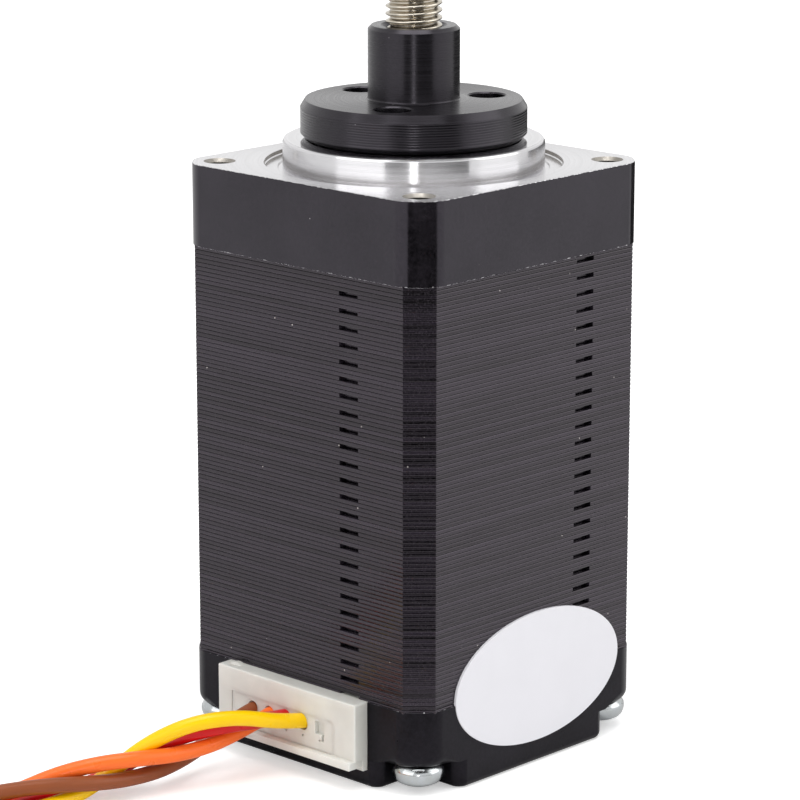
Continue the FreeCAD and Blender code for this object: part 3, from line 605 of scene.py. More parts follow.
# Near black in thin bands, each a little lighter or darker, with a few bright nicks.
SHEETS = SheetSteel("varnished_sheet_steel", "#141116", 0.22)
# Deep black with a silky gloss that runs round the nut.
ACETAL = TurnedPlastic("black_acetal_turned", "#070608", 0.27)
# Warm bright steel, smooth on the thread's crests.
STAINLESS = PlainMetal("stainless_steel_rolled", "#cfc8bc", 0.2, tint="#b9b2a5")
# Bluish bright plating with cloudy patches.
ZINC = PlainMetal("zinc_plated_steel", "#c9cdd4", 0.18, tint="#a9aca6")
# Even grey gloss of a ground bearing race or shaft.
GROUND = PlainMetal("ground_steel", "#c6c6c8", 0.2, tint="#b4b4b8", grain=0.15)
# Dull yellowish grey plating on the magnets.
NICKEL = PlainMetal("nickel_plated_magnet", "#a9a7a3", 0.25, tint="#8f8d89")
# Soft whitish gloss of tin on the pins, contacts and wire ends.
TIN = PlainMetal("tin_plated_brass", "#cdc9bf", 0.28, tint="#bdb8aa", grain=0.2)
# Bare grey sheets, duller than the varnished ones.
ROTOR_STEEL = SheetSteel("rotor_sheet_steel", "#77757a", 0.4)
# Plain turned aluminium, duller than the faces that show.
SPACER = TurnedMetal("plain_aluminium", "#cfcfd2", 0.35)
# Milky white plastic that lets light in, so that its edges look soft.
NYLON = Moulded("milky_nylon_moulded", "#d8d7d1", 0.36, glow=0.6)
# Dull creamy white plastic.
INSULATOR = Moulded("white_nylon_insulator", "#dcd8cc", 0.5)
# Dark green lacquer with a cloud of glass cloth under it.
BOARD = Moulded("green_epoxy_board", "#12492a", 0.35, cloud=0.12)
# Even cool white with a faint gloss.
VINYL = Moulded("white_vinyl_label", "#e2e1e6", 0.38, grain=0.25, cloud=0.01)
# Near black plastic with a soft gloss.
TIE_PLASTIC = Moulded("black_nylon_tie", "#1b1a1c", 0.35)
# Reddish brown lacquer over a ridge for each turn, with painted shade between the turns.
COPPER = Windings("enamelled_copper", "#a4541f", 0.3)
# Strong plain colours with a narrow soft highlight along each wire.
RED_PVC = Sheath("red_pvc", "#cc0f17", 0.3)
YELLOW_PVC = Sheath("yellow_pvc", "#fccc00", 0.3)
ORANGE_PVC = Sheath("orange_pvc", "#fd742b", 0.3)
BROWN_PVC = Sheath("brown_pvc", "#8f4c28", 0.32)


class Stock:
    """A mesh in the making, in millimetres, shaped one operator at a time."""

    def __init__(self) -> None:
        """Start with an empty mesh."""
        self.mesh = bmesh.new()

    @classmethod
    def block(cls, low: Sequence[float], high: Sequence[float]) -> "Stock":
        """Start from a block.

        Args:
            low: its lowest corner.
            high: its highest corner.

        Returns:
            The new stock.
        """
        stock = cls()
        size = Vector(high) - Vector(low)
        shape = Matrix.Translation((Vector(high) + Vector(low)) / 2) @ Matrix.Diagonal((*size, 1.0))
        bmesh.ops.create_cube(stock.mesh, size=1.0, matrix=shape)
        return stock

    @classmethod
    def turned(cls, profile: Iterable[Sequence[float]], steps: int = 96, closed: bool = False) -> "Stock":
        """Start from a half section that is turned about the upright axis.

        Args:
            profile: radius and height of each corner, from one end to the other.
            steps: how many faces there are round the axis.
            closed: whether the section closes on itself, as a ring's does.

        Returns:
            The new stock.
        """
        stock = cls()
        corners = [stock.mesh.verts.new((radius, 0.0, height)) for radius, height in profile]
        ends = corners[1:] + corners[:1] if closed else corners[1:]
        sides = [stock.mesh.edges.new(pair) for pair in zip(corners, ends)]
        bmesh.ops.spin(
            stock.mesh, geom=corners + sides, axis=(0, 0, 1), angle=FULL_TURN, steps=steps, use_merge=True)
        return stock.cleaned()

    @classmethod
    def rod(cls, radius: float, low: float, high: float, steps: int) -> "Stock":
        """Start from a plain upright rod, mostly used as a drill."""
        return cls.turned(((0, low), (radius, low), (radius, high), (0, high)), steps)

    def cleaned(self) -> "Stock":
        """Merge doubles, drop faces with no area and turn every face outwards.

        Returns:
            The stock itself.
        """
        bmesh.ops.remove_doubles(self.mesh, verts=self.mesh.verts, dist=1e-5)
        bmesh.ops.dissolve_degenerate(self.mesh, edges=self.mesh.edges, dist=1e-6)
        bmesh.ops.recalc_face_normals(self.mesh, faces=self.mesh.faces)
        return self

    def moved(self, x: float = 0.0, y: float = 0.0, z: float = 0.0) -> "Stock":
        """Shift the whole stock."""
        bmesh.ops.translate(self.mesh, verts=self.mesh.verts, vec=(x, y, z))
        return self

    def turned_about(self, angle: float, axis: Sequence[float] = (0, 0, 1)) -> "Stock":
        """Turn the whole stock about an axis through the origin.

        Args:
            angle: the turn in degrees.
            axis: the axis.

        Returns:
            The stock itself.
        """
        turn = Matrix.Rotation(math.radians(angle), 3, axis)
        bmesh.ops.rotate(self.mesh, verts=self.mesh.verts, matrix=turn)
        return self

    def raised(self, height: float) -> "Stock":
        """Raise a flat sheet to a closed plate.

        Args:
            height: the plate's thickness.

        Returns:
            The stock itself.
        """
        copy = bmesh.ops.extrude_face_region(self.mesh, geom=list(self.mesh.faces), use_keep_orig=True)
        top = [item for item in copy["geom"] if isinstance(item, bmesh.types.BMVert)]
        bmesh.ops.translate(self.mesh, verts=top, vec=(0, 0, height))
        return self.cleaned()

    def rounded(self, width: float, segments: int, where: Callable[[Edge], bool]) -> "Stock":
        """Bevel the edges that a test picks.

        Args:
            width: how far the bevel reaches from each edge.
            segments: one for a chamfer, more for a round.
            where: tells whether an edge is bevelled.

        Returns:
            The stock itself.
        """
        edges = [edge for edge in self.mesh.edges if where(edge)]
        bmesh.ops.bevel(
            self.mesh, geom=edges, offset=width, affect="EDGES", segments=segments, profile=0.5, material=-1)
        return self

    def drafted(self, name: str) -> bpy.types.Mesh:
        """Copy the stock into a mesh.

        Args:
            name: the mesh's name.

        Returns:
            The mesh.
        """
        mesh = bpy.data.meshes.new(name)
        self.mesh.to_mesh(mesh)
        return mesh

    def copies(self, places: Iterable[Sequence[float]]) -> "Stock":
        """Set the stock at several places; it is used up.

        Args:
            places: how far each copy is shifted.

        Returns:
            A new stock with all of them.
        """
        whole = Stock()
        draft = self.drafted("draft")
        self.mesh.free()
        for place in places:
            kept = len(whole.mesh.verts)
            whole.mesh.from_mesh(draft)
            whole.mesh.verts.ensure_lookup_table()
            bmesh.ops.translate(whole.mesh, verts=whole.mesh.verts[kept:], vec=place)
        bpy.data.meshes.remove(draft)
        return whole

    def added(self, draft: bpy.types.Mesh) -> "Stock":
        """Put a drafted mesh in beside what is there."""
        self.mesh.from_mesh(draft)
        return self

    def combined(self, tool: "Stock", join: Join) -> "Stock":
        """Cut a tool from the stock, or weld it on.

        Args:
            tool: the other stock, which is used up.
            join: whether it is cut away or welded on.

        Returns:
            The stock itself.
        """
        bench = [placed("bench", stock.drafted("bench")) for stock in (self, tool)]
        cutter = bench[0].modifiers.new("join", "BOOLEAN")
        cutter.operation = join.value
        cutter.solver = "EXACT"
        cutter.object = bench[1]
        view = bpy.context.evaluated_depsgraph_get()
        result = bpy.data.meshes.new_from_object(bench[0].evaluated_get(view))
        self.mesh.clear()
        self.mesh.from_mesh(result)
        for item in bench:
            bpy.data.meshes.remove(item.data)
        bpy.data.meshes.remove(result)
        tool.mesh.free()
        return self

    def painted(self, index: int, where: Callable[[Face], bool]) -> "Stock":
        """Give some faces another of the piece's finishes.

        Args:
            index: the finish's number.
            where: tells whether a face gets it.

        Returns:
            The stock itself.
        """
        self.mesh.normal_update()
        for face in self.mesh.faces:
            if where(face):
                face.material_index = index
        return self

    def piece(
            self, name: str, body: Body, finishes: Sequence[Finish],
            crease: float = 32.0) -> bpy.types.Object:
        """Finish the stock as a piece of the motor that rides on a body; the stock is used up.

        Args:
            name: the piece's name.
            body: the body that it moves with.
            finishes: its surfaces, by their number.
            crease: the angle in degrees past which an edge stays sharp.

        Returns:
            The piece, at the origin, with its place in its mesh.
        """
        bmesh.ops.scale(self.mesh, verts=self.mesh.verts, vec=(MM, MM, MM))
        mesh = self.drafted(name)
        self.mesh.free()
        mesh.polygons.foreach_set("use_smooth", [True] * len(mesh.polygons))
        mesh.set_sharp_from_angle(angle=math.radians(crease))
        for finish in finishes:
            mesh.materials.append(finish.material())
        item = placed(name, mesh)
        even = item.modifiers.new("even_shading", "WEIGHTED_NORMAL")
        even.keep_sharp = True
        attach(item, body.value)
        log.info("%s: %d faces", name, len(mesh.polygons))
        return item


def is_upright(edge: Edge) -> bool:
    """Tell whether an edge runs along the screw axis."""
    run = edge.verts[1].co - edge.verts[0].co
    return abs(run.z) > 0.99 * run.length


def is_sharp(edge: Edge) -> bool:
    """Tell whether the faces at an edge meet at more than about 30 degrees."""
    return edge.calc_face_angle(0) > 0.5


def at_height(edge: Edge, height: float) -> bool:
    """Tell whether both ends of an edge are at a height."""
    return all(abs(vert.co.z - height) < 1e-3 for vert in edge.verts)


def at_corners(distance: float) -> list[Point]:
    """Give the four places at one distance from both middle lines."""
    return [(x * distance, y * distance, 0.0) for x in (-1, 1) for y in (-1, 1)]


@dataclass
class Cap:
    """What both end caps share: a square block with cut and blended corners, and its corner holes."""

    half: float = 14.1
    corner_chamfer: float = 1.95
    corner_blend: float = 0.9
    hole: float = 11.5
    room_radius: float = 12.3
    seat_radius: float = 5.5

    def blank(self, foot: float, head: float) -> Stock:
        """Make the block.

        Args:
            foot: its lower height.
            head: its upper height.

        Returns:
            The block with its corners cut and blended.
        """
        block = Stock.block((-self.half, -self.half, foot), (self.half, self.half, head))
        return block.rounded(self.corner_chamfer, 1, is_upright).rounded(self.corner_blend, 5, is_upright)

    def is_outside(self, place: Vector, side_slack: float, corner_slack: float) -> bool:
        """Tell whether a place is on the cap's outer sides or its cut corners.

        Args:
            place: the place.
            side_slack: how far inside a side still counts.
            corner_slack: how far inside a cut corner still counts, along both sides together.

        Returns:
            Whether it is on one of them.
        """
        across, along = abs(place.x), abs(place.y)
        on_side = max(across, along) > self.half - side_slack
        return on_side or across + along > 2 * self.half - self.corner_chamfer - corner_slack


@dataclass
class FrontCap(Cap):
    """Cast front cap: painted sides, machined face, turned pilot and four tapped corner holes."""

    foot: float = 43.0
    foot_edge: float = 0.06
    face: float = 50.0
    face_edge: float = 0.07
    pilot_radius: float = 11.0
    pilot_top: float = 52.0
    pilot_edge: float = 0.3
    groove_depth: float = 0.12
    groove_width: float = 0.35
    groove_slope: float = 0.07
    ring_radius: float = 12.55
    ring_floor: float = 49.55
    ring_fillet: float = 0.08
    ring_edge: float = 0.1
    ring_break: float = 0.06
    room_top: float = 45.5
    seat_top: float = 49.5
    passage: float = 3.2
    passage_edge: float = 0.35
    passage_break: float = 0.3
    clearance: float = 1.3
    thread_foot: float = 45.6
    thread_end: float = 49.5
    thread_major: float = 1.25
    thread_minor: float = 1.03
    thread_pitch: float = 0.45
    thread_edge: float = 0.12
    mouth_step: float = 0.05
    mouth_depth: float = 0.3
    mouth_past: float = 0.02

    def build(self) -> None:
        """Make the cap from a block and turned tools."""
        cap = self.blank(self.foot, self.face)
        cap.rounded(self.face_edge, 2, lambda edge: at_height(edge, self.face))
        cap.rounded(self.foot_edge, 1, lambda edge: at_height(edge, self.foot))
        cap.combined(self.face_ring(), Join.CUT)
        cap.combined(self.pilot(), Join.WELD)
        cap.combined(self.inside(), Join.CUT)
        cap.combined(self.tapped_holes(), Join.CUT)
        cap.painted(1, self.is_machined)
        # The walls of the tapped holes and of the shallow ring get the metal that is darkened as painted
        # shade.
        cap.painted(2, self.is_cut_wall)
        cap.painted(3, lambda face: face.calc_center_median().z > self.pilot_top - 0.02)
        piece = cap.piece("front_cap", Body.MOTOR, (FRONT_PAINT, MILLED, CUT_WALL_SHADED, FACED))
        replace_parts(piece, "front_end_cap")

    def face_ring(self) -> Stock:
        """Turn the tool of the shallow ring round the pilot, with its relief groove and broken edge.

        Returns:
            The tool.
        """
        pilot, wall, floor = self.pilot_radius, self.ring_radius, self.ring_floor
        inner, groove, over = pilot - OVER / 2, floor - self.groove_depth, self.face + OVER
        wide, broken = wall + self.ring_edge, self.face - self.ring_break
        return Stock.turned((
            (inner, floor), (pilot, groove), (pilot + self.groove_width, groove),
            (pilot + self.groove_width + self.groove_slope, floor), (wall - self.ring_fillet, floor),
            (wall, floor + self.ring_fillet), (wall, broken), (wide, broken + self.ring_edge),
            (wide, over), (inner, over)), steps=160, closed=True)

    def pilot(self) -> Stock:
        """Turn the pilot.

        Returns:
            The pilot, with its foot in the block.
        """
        radius, top, edge = self.pilot_radius, self.pilot_top, self.pilot_edge
        return Stock.turned((
            (0, self.face - OVER), (radius, self.face - OVER), (radius, top - edge),
            (radius - edge / 3, top - edge / 3), (radius - edge, top), (0, top)), steps=160)

    def inside(self) -> Stock:
        """Turn the tool of the room for the windings, the bearing's seat and the screw's passage.

        Returns:
            The tool.
        """
        under, over = self.foot - OVER, self.pilot_top + OVER
        wide, broken = self.passage + self.passage_edge, self.pilot_top - self.passage_break
        return Stock.turned((
            (0, under), (self.room_radius, under), (self.room_radius, self.room_top),
            (self.seat_radius, self.room_top), (self.seat_radius, self.seat_top),
            (self.passage, self.seat_top), (self.passage, broken), (wide, broken + self.passage_edge),
            (wide, over), (0, over)), steps=96)

    def tapped_holes(self) -> Stock:
        """Turn the tool of one tapped hole, thread by thread, and set it at the four corners.

        Returns:
            The four tools.
        """
        wide, under, over = self.thread_major + self.thread_edge, self.foot - OVER, self.face + OVER
        profile = [(0, under), (self.clearance, under), (self.clearance, self.room_top)]
        height = self.thread_foot
        while height < self.thread_end:
            profile += [(self.thread_minor, height), (self.thread_major, height + self.thread_pitch / 2)]
            height += self.thread_pitch
        profile += [
            (self.thread_minor + self.mouth_step, self.face - self.mouth_depth),
            (wide, self.face + self.mouth_past), (wide, over), (0, over)]
        return Stock.turned(profile, steps=40).copies(at_corners(self.hole))

    def is_machined(self, face: Face) -> bool:
        """Tell whether a face was cut after painting: all but the outer sides."""
        outside = self.is_outside(face.calc_center_median(), side_slack=0.15, corner_slack=0.3)
        return not (outside and face.normal.z < 0.9)

    def is_cut_wall(self, face: Face) -> bool:
        """Tell whether a face is inside a tapped hole or on the wall of the shallow ring.

        Args:
            face: the face.

        Returns:
            Whether it is on one of them.
        """
        middle = face.calc_center_median()
        off = math.hypot(abs(middle.x) - self.hole, abs(middle.y) - self.hole)
        in_hole = off < self.thread_major + 0.1 and middle.z < self.face - 0.02
        on_wall = abs(middle.xy.length - self.ring_radius) < 0.05 and abs(face.normal.z) < 0.5
        return in_hole or on_wall


@dataclass
class RearCap(Cap):
    """Cast rear cap: painted, with notched corners for the screw heads and a window for the connector."""

    top: float = 7.5
    top_edge: float = 0.05
    notch: float = 9.3
    notch_top: float = 2.5
    notch_fillet: float = 0.8
    column_round: float = 1.0
    slab_round: float = 0.6
    corner_round: float = 1.3
    tool_gap: float = 0.005
    tool_cross: float = 0.03
    tool_reach: float = 0.3
    drill: float = 1.4
    window_half: float = 8.15
    window_back: float = 11.3
    window_floor: float = 1.6
    floor: float = 1.5
    boss_radius: float = 7.0
    boss_top: float = 6.2
    moat_radius: float = 8.0
    moat_top: float = 3.5

    def build(self) -> None:
        """Make the cap from a block: its corners, its notches with their rounds, then its openings."""
        cap = self.blank(0, self.top)
        reach, over = self.half + OVER, self.top + OVER
        for quarter in range(4):
            notch = Stock.block((self.notch, self.notch, -OVER), (reach, reach, self.notch_top))
            notch.rounded(
                self.notch_fillet, 4, lambda edge: is_upright(edge) and max(edge.verts[0].co.xy) < self.half)
            cap.combined(notch.turned_about(90 * quarter), Join.CUT)
        cap.cleaned()
        cap.rounded(self.column_round, 5, self.is_column_foot)
        cap.rounded(self.top_edge, 1, lambda edge: at_height(edge, self.top))
        for quarter in range(4):
            for corner in ((self.notch, self.half), (self.half, self.notch)):
                cap.combined(self.corner_tool(*corner).turned_about(90 * quarter), Join.CUT)
        cap.cleaned()
        cap.rounded(self.slab_round, 5, lambda edge: at_height(edge, 0) and is_sharp(edge))
        cap.combined(self.inside(), Join.CUT)
        window = Stock.block(
            (-self.window_half, -reach, self.window_floor), (self.window_half, -self.window_back, over))
        cap.combined(window, Join.CUT)
        drill = Stock.rod(self.drill, -OVER, over, steps=32)
        cap.combined(drill.copies(at_corners(self.hole)), Join.CUT)
        # The rear cap's paint is darker and duller than the front's, as painted shade.
        piece = cap.piece("rear_cap", Body.MOTOR, (REAR_PAINT_SHADED,))
        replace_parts(piece, "rear_end_cap")

    def corner_tool(self, x: float, y: float) -> Stock:
        """Make the tool that rounds one outer corner of the slab beside a notch.

        The rod crosses the cap's sides and the tool ends just under the notch's ceiling, so that no faces of
        the tool and the cap lie in one plane.

        Args:
            x: the corner's place across.
            y: the corner's place along.

        Returns:
            What is left of a square bar round a quarter of a rod.
        """
        radius, head, past = self.corner_round, self.notch_top - self.tool_gap, self.tool_reach
        middle = (x - radius + self.tool_cross, y - radius + self.tool_cross)
        bar = Stock.block((*middle, -OVER), (x + past, y + past, head))
        rod = Stock.rod(radius, -2 * OVER, head + OVER, steps=48)
        return bar.combined(rod.moved(*middle), Join.CUT)

    def is_column_foot(self, edge: Edge) -> bool:
        """Tell whether an edge is on the outer rim under a corner.

        Args:
            edge: the edge.

        Returns:
            Whether it is.
        """
        past_notch = all(max(abs(vert.co.x), abs(vert.co.y)) > self.notch + 0.7 for vert in edge.verts)
        middle = (edge.verts[0].co + edge.verts[1].co) / 2
        on_rim = self.is_outside(middle, side_slack=0.2, corner_slack=0.35)
        return at_height(edge, self.notch_top) and past_notch and on_rim

    def inside(self) -> Stock:
        """Turn the tool of the room round the bearing's boss.

        Returns:
            The tool.
        """
        floor, over = self.floor, self.top + OVER
        return Stock.turned((
            (0, floor), (self.seat_radius, floor), (self.seat_radius, self.boss_top),
            (self.boss_radius, self.boss_top), (self.boss_radius, self.moat_top),
            (self.moat_radius, self.moat_top), (self.moat_radius, floor), (self.room_radius, floor),
            (self.room_radius, over), (0, over)), steps=96)


@dataclass
class Core:
    """Stator core: a stack of stamped sheets, each turned a quarter on the last, so its notch comes round."""

    half: float = 13.97
    chamfer: float = 1.9
    thickness: float = 0.3515
    sheets: int = 101
    bore: float = 8.15
    notch_start: float = 4.92
    notch_end: float = 7.05
    notch_depth: float = 0.5
    start_slope: float = 0.2
    end_slope: float = 0.1
    edge_break: float = 0.085

    def build(self) -> None:
        """Stamp a sheet, draft it in its four turns and stack the drafts."""
        sheet = self.sheet()
        drafts = []
        for _ in range(4):
            drafts.append(sheet.drafted("sheet"))
            sheet.turned_about(-90)
        sheet.mesh.free()
        stack = Stock()
        for index in range(self.sheets):
            turn = 1 if index == self.sheets - 1 else index % 4
            kept = len(stack.mesh.verts)
            stack.added(drafts[turn]).mesh.verts.ensure_lookup_table()
            height = STACK_FOOT + index * SHEET_PITCH
            bmesh.ops.translate(stack.mesh, verts=stack.mesh.verts[kept:], vec=(0, 0, height))
        for draft in drafts:
            bpy.data.meshes.remove(draft)
        piece = stack.piece("sheet_stack", Body.MOTOR, (SHEETS,), crease=20.0)
        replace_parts(piece, "stator_core")

    def sheet(self) -> Stock:
        """Stamp a sheet at height zero: a square with cut corners, one notch in its front side and the bore.

        Returns:
            The sheet, with its outer edges broken.
        """
        sheet = Stock()
        half, flat = self.half, self.half - self.chamfer
        inner = -half + self.notch_depth
        outline = (
            (half, -flat), (half, flat), (flat, half), (-flat, half), (-half, flat), (-half, -flat),
            (-flat, -half), (self.notch_start, -half), (self.notch_start + self.start_slope, inner),
            (self.notch_end - self.end_slope, inner), (self.notch_end, -half), (flat, -half))
        corners = [sheet.mesh.verts.new((x, y, 0.0)) for x, y in outline]
        for pair in zip(corners, corners[1:] + corners[:1]):
            sheet.mesh.edges.new(pair)
        bmesh.ops.create_circle(sheet.mesh, radius=self.bore, segments=40)
        bmesh.ops.triangle_fill(sheet.mesh, edges=sheet.mesh.edges, use_beauty=True)
        return sheet.raised(self.thickness).rounded(self.edge_break, 2, self.is_outer_rim)

    def is_outer_rim(self, edge: Edge) -> bool:
        """Tell whether an edge is round the outside of a sheet, above or below.

        Args:
            edge: the edge.

        Returns:
            Whether it is.
        """
        level = at_height(edge, 0) or at_height(edge, self.thickness)
        outside = all(vert.co.xy.length > self.bore + 1 for vert in edge.verts)
        return level and outside and is_sharp(edge)


@dataclass
class Label:
    """Bare oval label of white vinyl across the joint of the core and the rear cap."""

    length_half: float = 10.25
    height_half: float = 5.68
    middle_y: float = 0.42
    middle_z: float = 7.72
    back: float = 13.95
    front: float = 14.2
    edge: float = 0.05

    def build(self) -> None:
        """Cut the oval and lay it on the side."""
        oval = Stock()
        rim = bmesh.ops.create_circle(oval.mesh, cap_ends=True, radius=1.0, segments=128)["verts"]
        bmesh.ops.scale(oval.mesh, verts=rim, vec=(self.length_half, self.height_half, 1))
        thickness = self.front - self.back
        oval.raised(thickness).rounded(self.edge, 2, lambda edge: at_height(edge, thickness))
        oval.turned_about(90, (0, 0, 1)).turned_about(90, (0, 1, 0))
        oval.moved(self.back, self.middle_y, self.middle_z)
        piece = oval.piece("oval_label", Body.MOTOR, (VINYL,))
        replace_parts(piece, "blank_label")


@dataclass
class CaseScrews:
    """Four long zinc-plated screws with crowned heads, which hold the motor together.

    The crown is the radius and height of each corner of the head's half section, from its middle to the cap.
    """

    spacing: float = 11.5
    head_foot: float = 0.62
    head_top: float = 2.5
    crown: tuple[Span, ...] = (
        (0.0, 0.0), (0.9, 0.03), (1.4, 0.14), (1.78, 0.34), (2.02, 0.62), (2.14, 0.95), (2.18, 1.25),
        (2.14, 1.5), (2.0, 1.72), (1.85, 1.88))
    shank: float = 1.3
    end: float = 45.0
    point: float = 0.3
    cross_half: float = 1.15
    blade_half: float = 0.24
    cross_depth: float = 0.85

    def build(self) -> None:
        """Turn one screw, sink its cross recess and set it at the corners."""
        low = self.head_foot
        head = [(radius, low + height) for radius, height in self.crown]
        screw = Stock.turned((
            *head, (self.shank, self.head_top), (self.shank, self.end - self.point),
            (self.shank - self.point, self.end), (0, self.end)), steps=48)
        for angle in (45, 135):
            blade = Stock.block(
                (-self.cross_half, -self.blade_half, low - OVER),
                (self.cross_half, self.blade_half, low + self.cross_depth))
            screw.combined(blade.turned_about(angle), Join.CUT)
        piece = screw.copies(at_corners(self.spacing)).piece("long_screws", Body.MOTOR, (ZINC,))
        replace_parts(piece, "case_screws")


@dataclass
class FlangeNut:
    """Turned black nut with a flange, a hub and three holes."""

    foot: float = 52.07
    flange_top: float = 55.27
    flange_radius: float = 9.5
    flange_edge: float = 0.4
    flange_slope: float = 0.65
    hub_radius: float = 3.85
    hub_top: float = 61.43
    hub_edge: float = 0.3
    hub_fillet: float = 0.2
    bore: float = 2.48
    bore_edge: float = 0.3
    hole_circle: float = 6.35
    hole_radius: float = 1.55
    hole_edge: float = 0.15
    hole_break: float = 0.12
    hole_turn: float = 58.0
    holes: int = 3
    tool_rings: int = 10
    ring_start: float = 0.72
    ring_middle: float = 0.86
    ring_depth: float = 0.014

    def build(self) -> None:
        """Turn the nut and drill its holes."""
        nut = Stock.turned(self.section(), steps=128, closed=True)
        turns = [math.radians(self.hole_turn + 360 / self.holes * index) for index in range(self.holes)]
        circle = self.hole_circle
        places = [(circle * math.cos(turn), circle * math.sin(turn), 0) for turn in turns]
        nut.combined(self.drill().copies(places), Join.CUT)
        piece = nut.piece("round_flange_nut", Body.NUT, (ACETAL,), crease=35.0)
        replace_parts(piece, "flange_nut")

    def drill(self) -> Stock:
        """Turn the tool of one hole, which breaks the hole's edges.

        Returns:
            The tool, on the screw axis.
        """
        radius, wide = self.hole_radius, self.hole_radius + self.hole_edge
        under, over = self.foot - OVER, self.flange_top + OVER
        broken = self.flange_top - self.hole_break
        return Stock.turned((
            (0, under), (wide, under), (wide, self.foot), (radius, self.foot + self.hole_edge),
            (radius, broken), (wide, broken + self.hole_edge), (wide, over), (0, over)), steps=48)

    def section(self) -> list[Span]:
        """Work out the half section, with the tool's rings on the flange's side.

        Returns:
            Radius and height of each corner.
        """
        outer, hub, edge = self.flange_radius, self.hub_radius, self.flange_edge
        top, fillet, mouth = self.flange_top, self.hub_fillet, self.bore + self.bore_edge
        corners = [(self.bore, self.foot + self.bore_edge), (mouth, self.foot), (outer - edge, self.foot)]
        low, high = self.foot + edge, top - self.flange_slope
        step = (high - low) / self.tool_rings
        for index in range(self.tool_rings):
            corners += [
                (outer, low + step * index), (outer, low + step * (index + self.ring_start)),
                (outer - self.ring_depth, low + step * (index + self.ring_middle))]
        return corners + [
            (outer, high), (outer - edge, top), (hub + fillet, top),
            (hub + 0.25 * fillet, top + 0.3 * fillet), (hub, top + fillet),
            (hub, self.hub_top - self.hub_edge), (hub - self.hub_edge, self.hub_top), (mouth, self.hub_top),
            (self.bore, self.hub_top - self.bore_edge)]


@dataclass
class LeadScrew:
    """Rolled lead screw with a right-hand rounded thread, and the spigot that is pressed into the shaft."""

    crest: float = 2.38
    root: float = 2.0
    lead: float = 0.635
    foot: float = 50.2
    end: float = 150.0
    tip: float = 0.4
    spigot: float = 1.5
    spigot_foot: float = 30.0
    spare_turns: int = 3
    steps: int = 28

    def build(self) -> None:
        """Wind one turn of the thread, stack it along the axis, trim both ends and add the spigot."""
        start = self.foot - self.spare_turns * self.lead
        turns = math.ceil((self.end - start) / self.lead) + 2
        screw = self.one_turn().copies([(0, 0, start + index * self.lead) for index in range(turns)])
        bmesh.ops.remove_doubles(screw.mesh, verts=screw.mesh.verts, dist=1e-4)
        self.trim(screw, self.foot, -1)
        self.trim(screw, self.end, 1)
        self.chamfer(screw)
        bmesh.ops.recalc_face_normals(screw.mesh, faces=screw.mesh.faces)
        spigot = Stock.rod(self.spigot, self.spigot_foot, self.foot, steps=32).drafted("spigot")
        piece = screw.added(spigot).piece("threaded_screw", Body.ROTOR, (STAINLESS,), crease=50.0)
        bpy.data.meshes.remove(spigot)
        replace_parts(piece, "lead_screw")

    def one_turn(self) -> Stock:
        """Wind the thread's section once round the axis, rising by the lead.

        Returns:
            One turn of the thread, from height zero.
        """
        turn = Stock()
        lead, root, crest = self.lead, self.root, self.crest
        low_flank, high_flank = root + 0.35 * (crest - root), crest - 0.2 * (crest - root)
        section = (
            (root, 0.0), (root, 0.10), (low_flank, 0.22), (high_flank, 0.36), (crest, 0.46), (crest, 0.60),
            (high_flank, 0.70), (low_flank, 0.84), (root, 0.96), (root, 1.0))
        corners = [turn.mesh.verts.new((radius, 0.0, share * lead)) for radius, share in section]
        sides = [turn.mesh.edges.new(pair) for pair in zip(corners, corners[1:])]
        bmesh.ops.spin(
            turn.mesh, geom=corners + sides, axis=(0, 0, 1), angle=FULL_TURN, steps=self.steps,
            dvec=(0, 0, lead / self.steps))
        return turn

    def trim(self, screw: Stock, height: float, side: int) -> None:
        """Cut the thread off square at a height and close the cut.

        Args:
            screw: the wound thread.
            height: where it is cut.
            side: one to take off what is above, minus one to take off what is below.
        """
        geometry = [*screw.mesh.verts, *screw.mesh.edges, *screw.mesh.faces]
        cut = bmesh.ops.bisect_plane(
            screw.mesh, geom=geometry, plane_co=(0, 0, height), plane_no=(0, 0, side), clear_outer=True)
        rim = [item for item in cut["geom_cut"] if isinstance(item, Edge)]
        bmesh.ops.edgeloop_fill(screw.mesh, edges=rim)

    def chamfer(self, screw: Stock) -> None:
        """Press what stands out at the upper end into a cone.

        Args:
            screw: the trimmed thread.
        """
        for vert in screw.mesh.verts:
            limit = self.crest - self.tip + max(0.0, self.end - vert.co.z)
            reach = vert.co.xy.length
            if reach > limit:
                vert.co.x *= limit / reach
                vert.co.y *= limit / reach


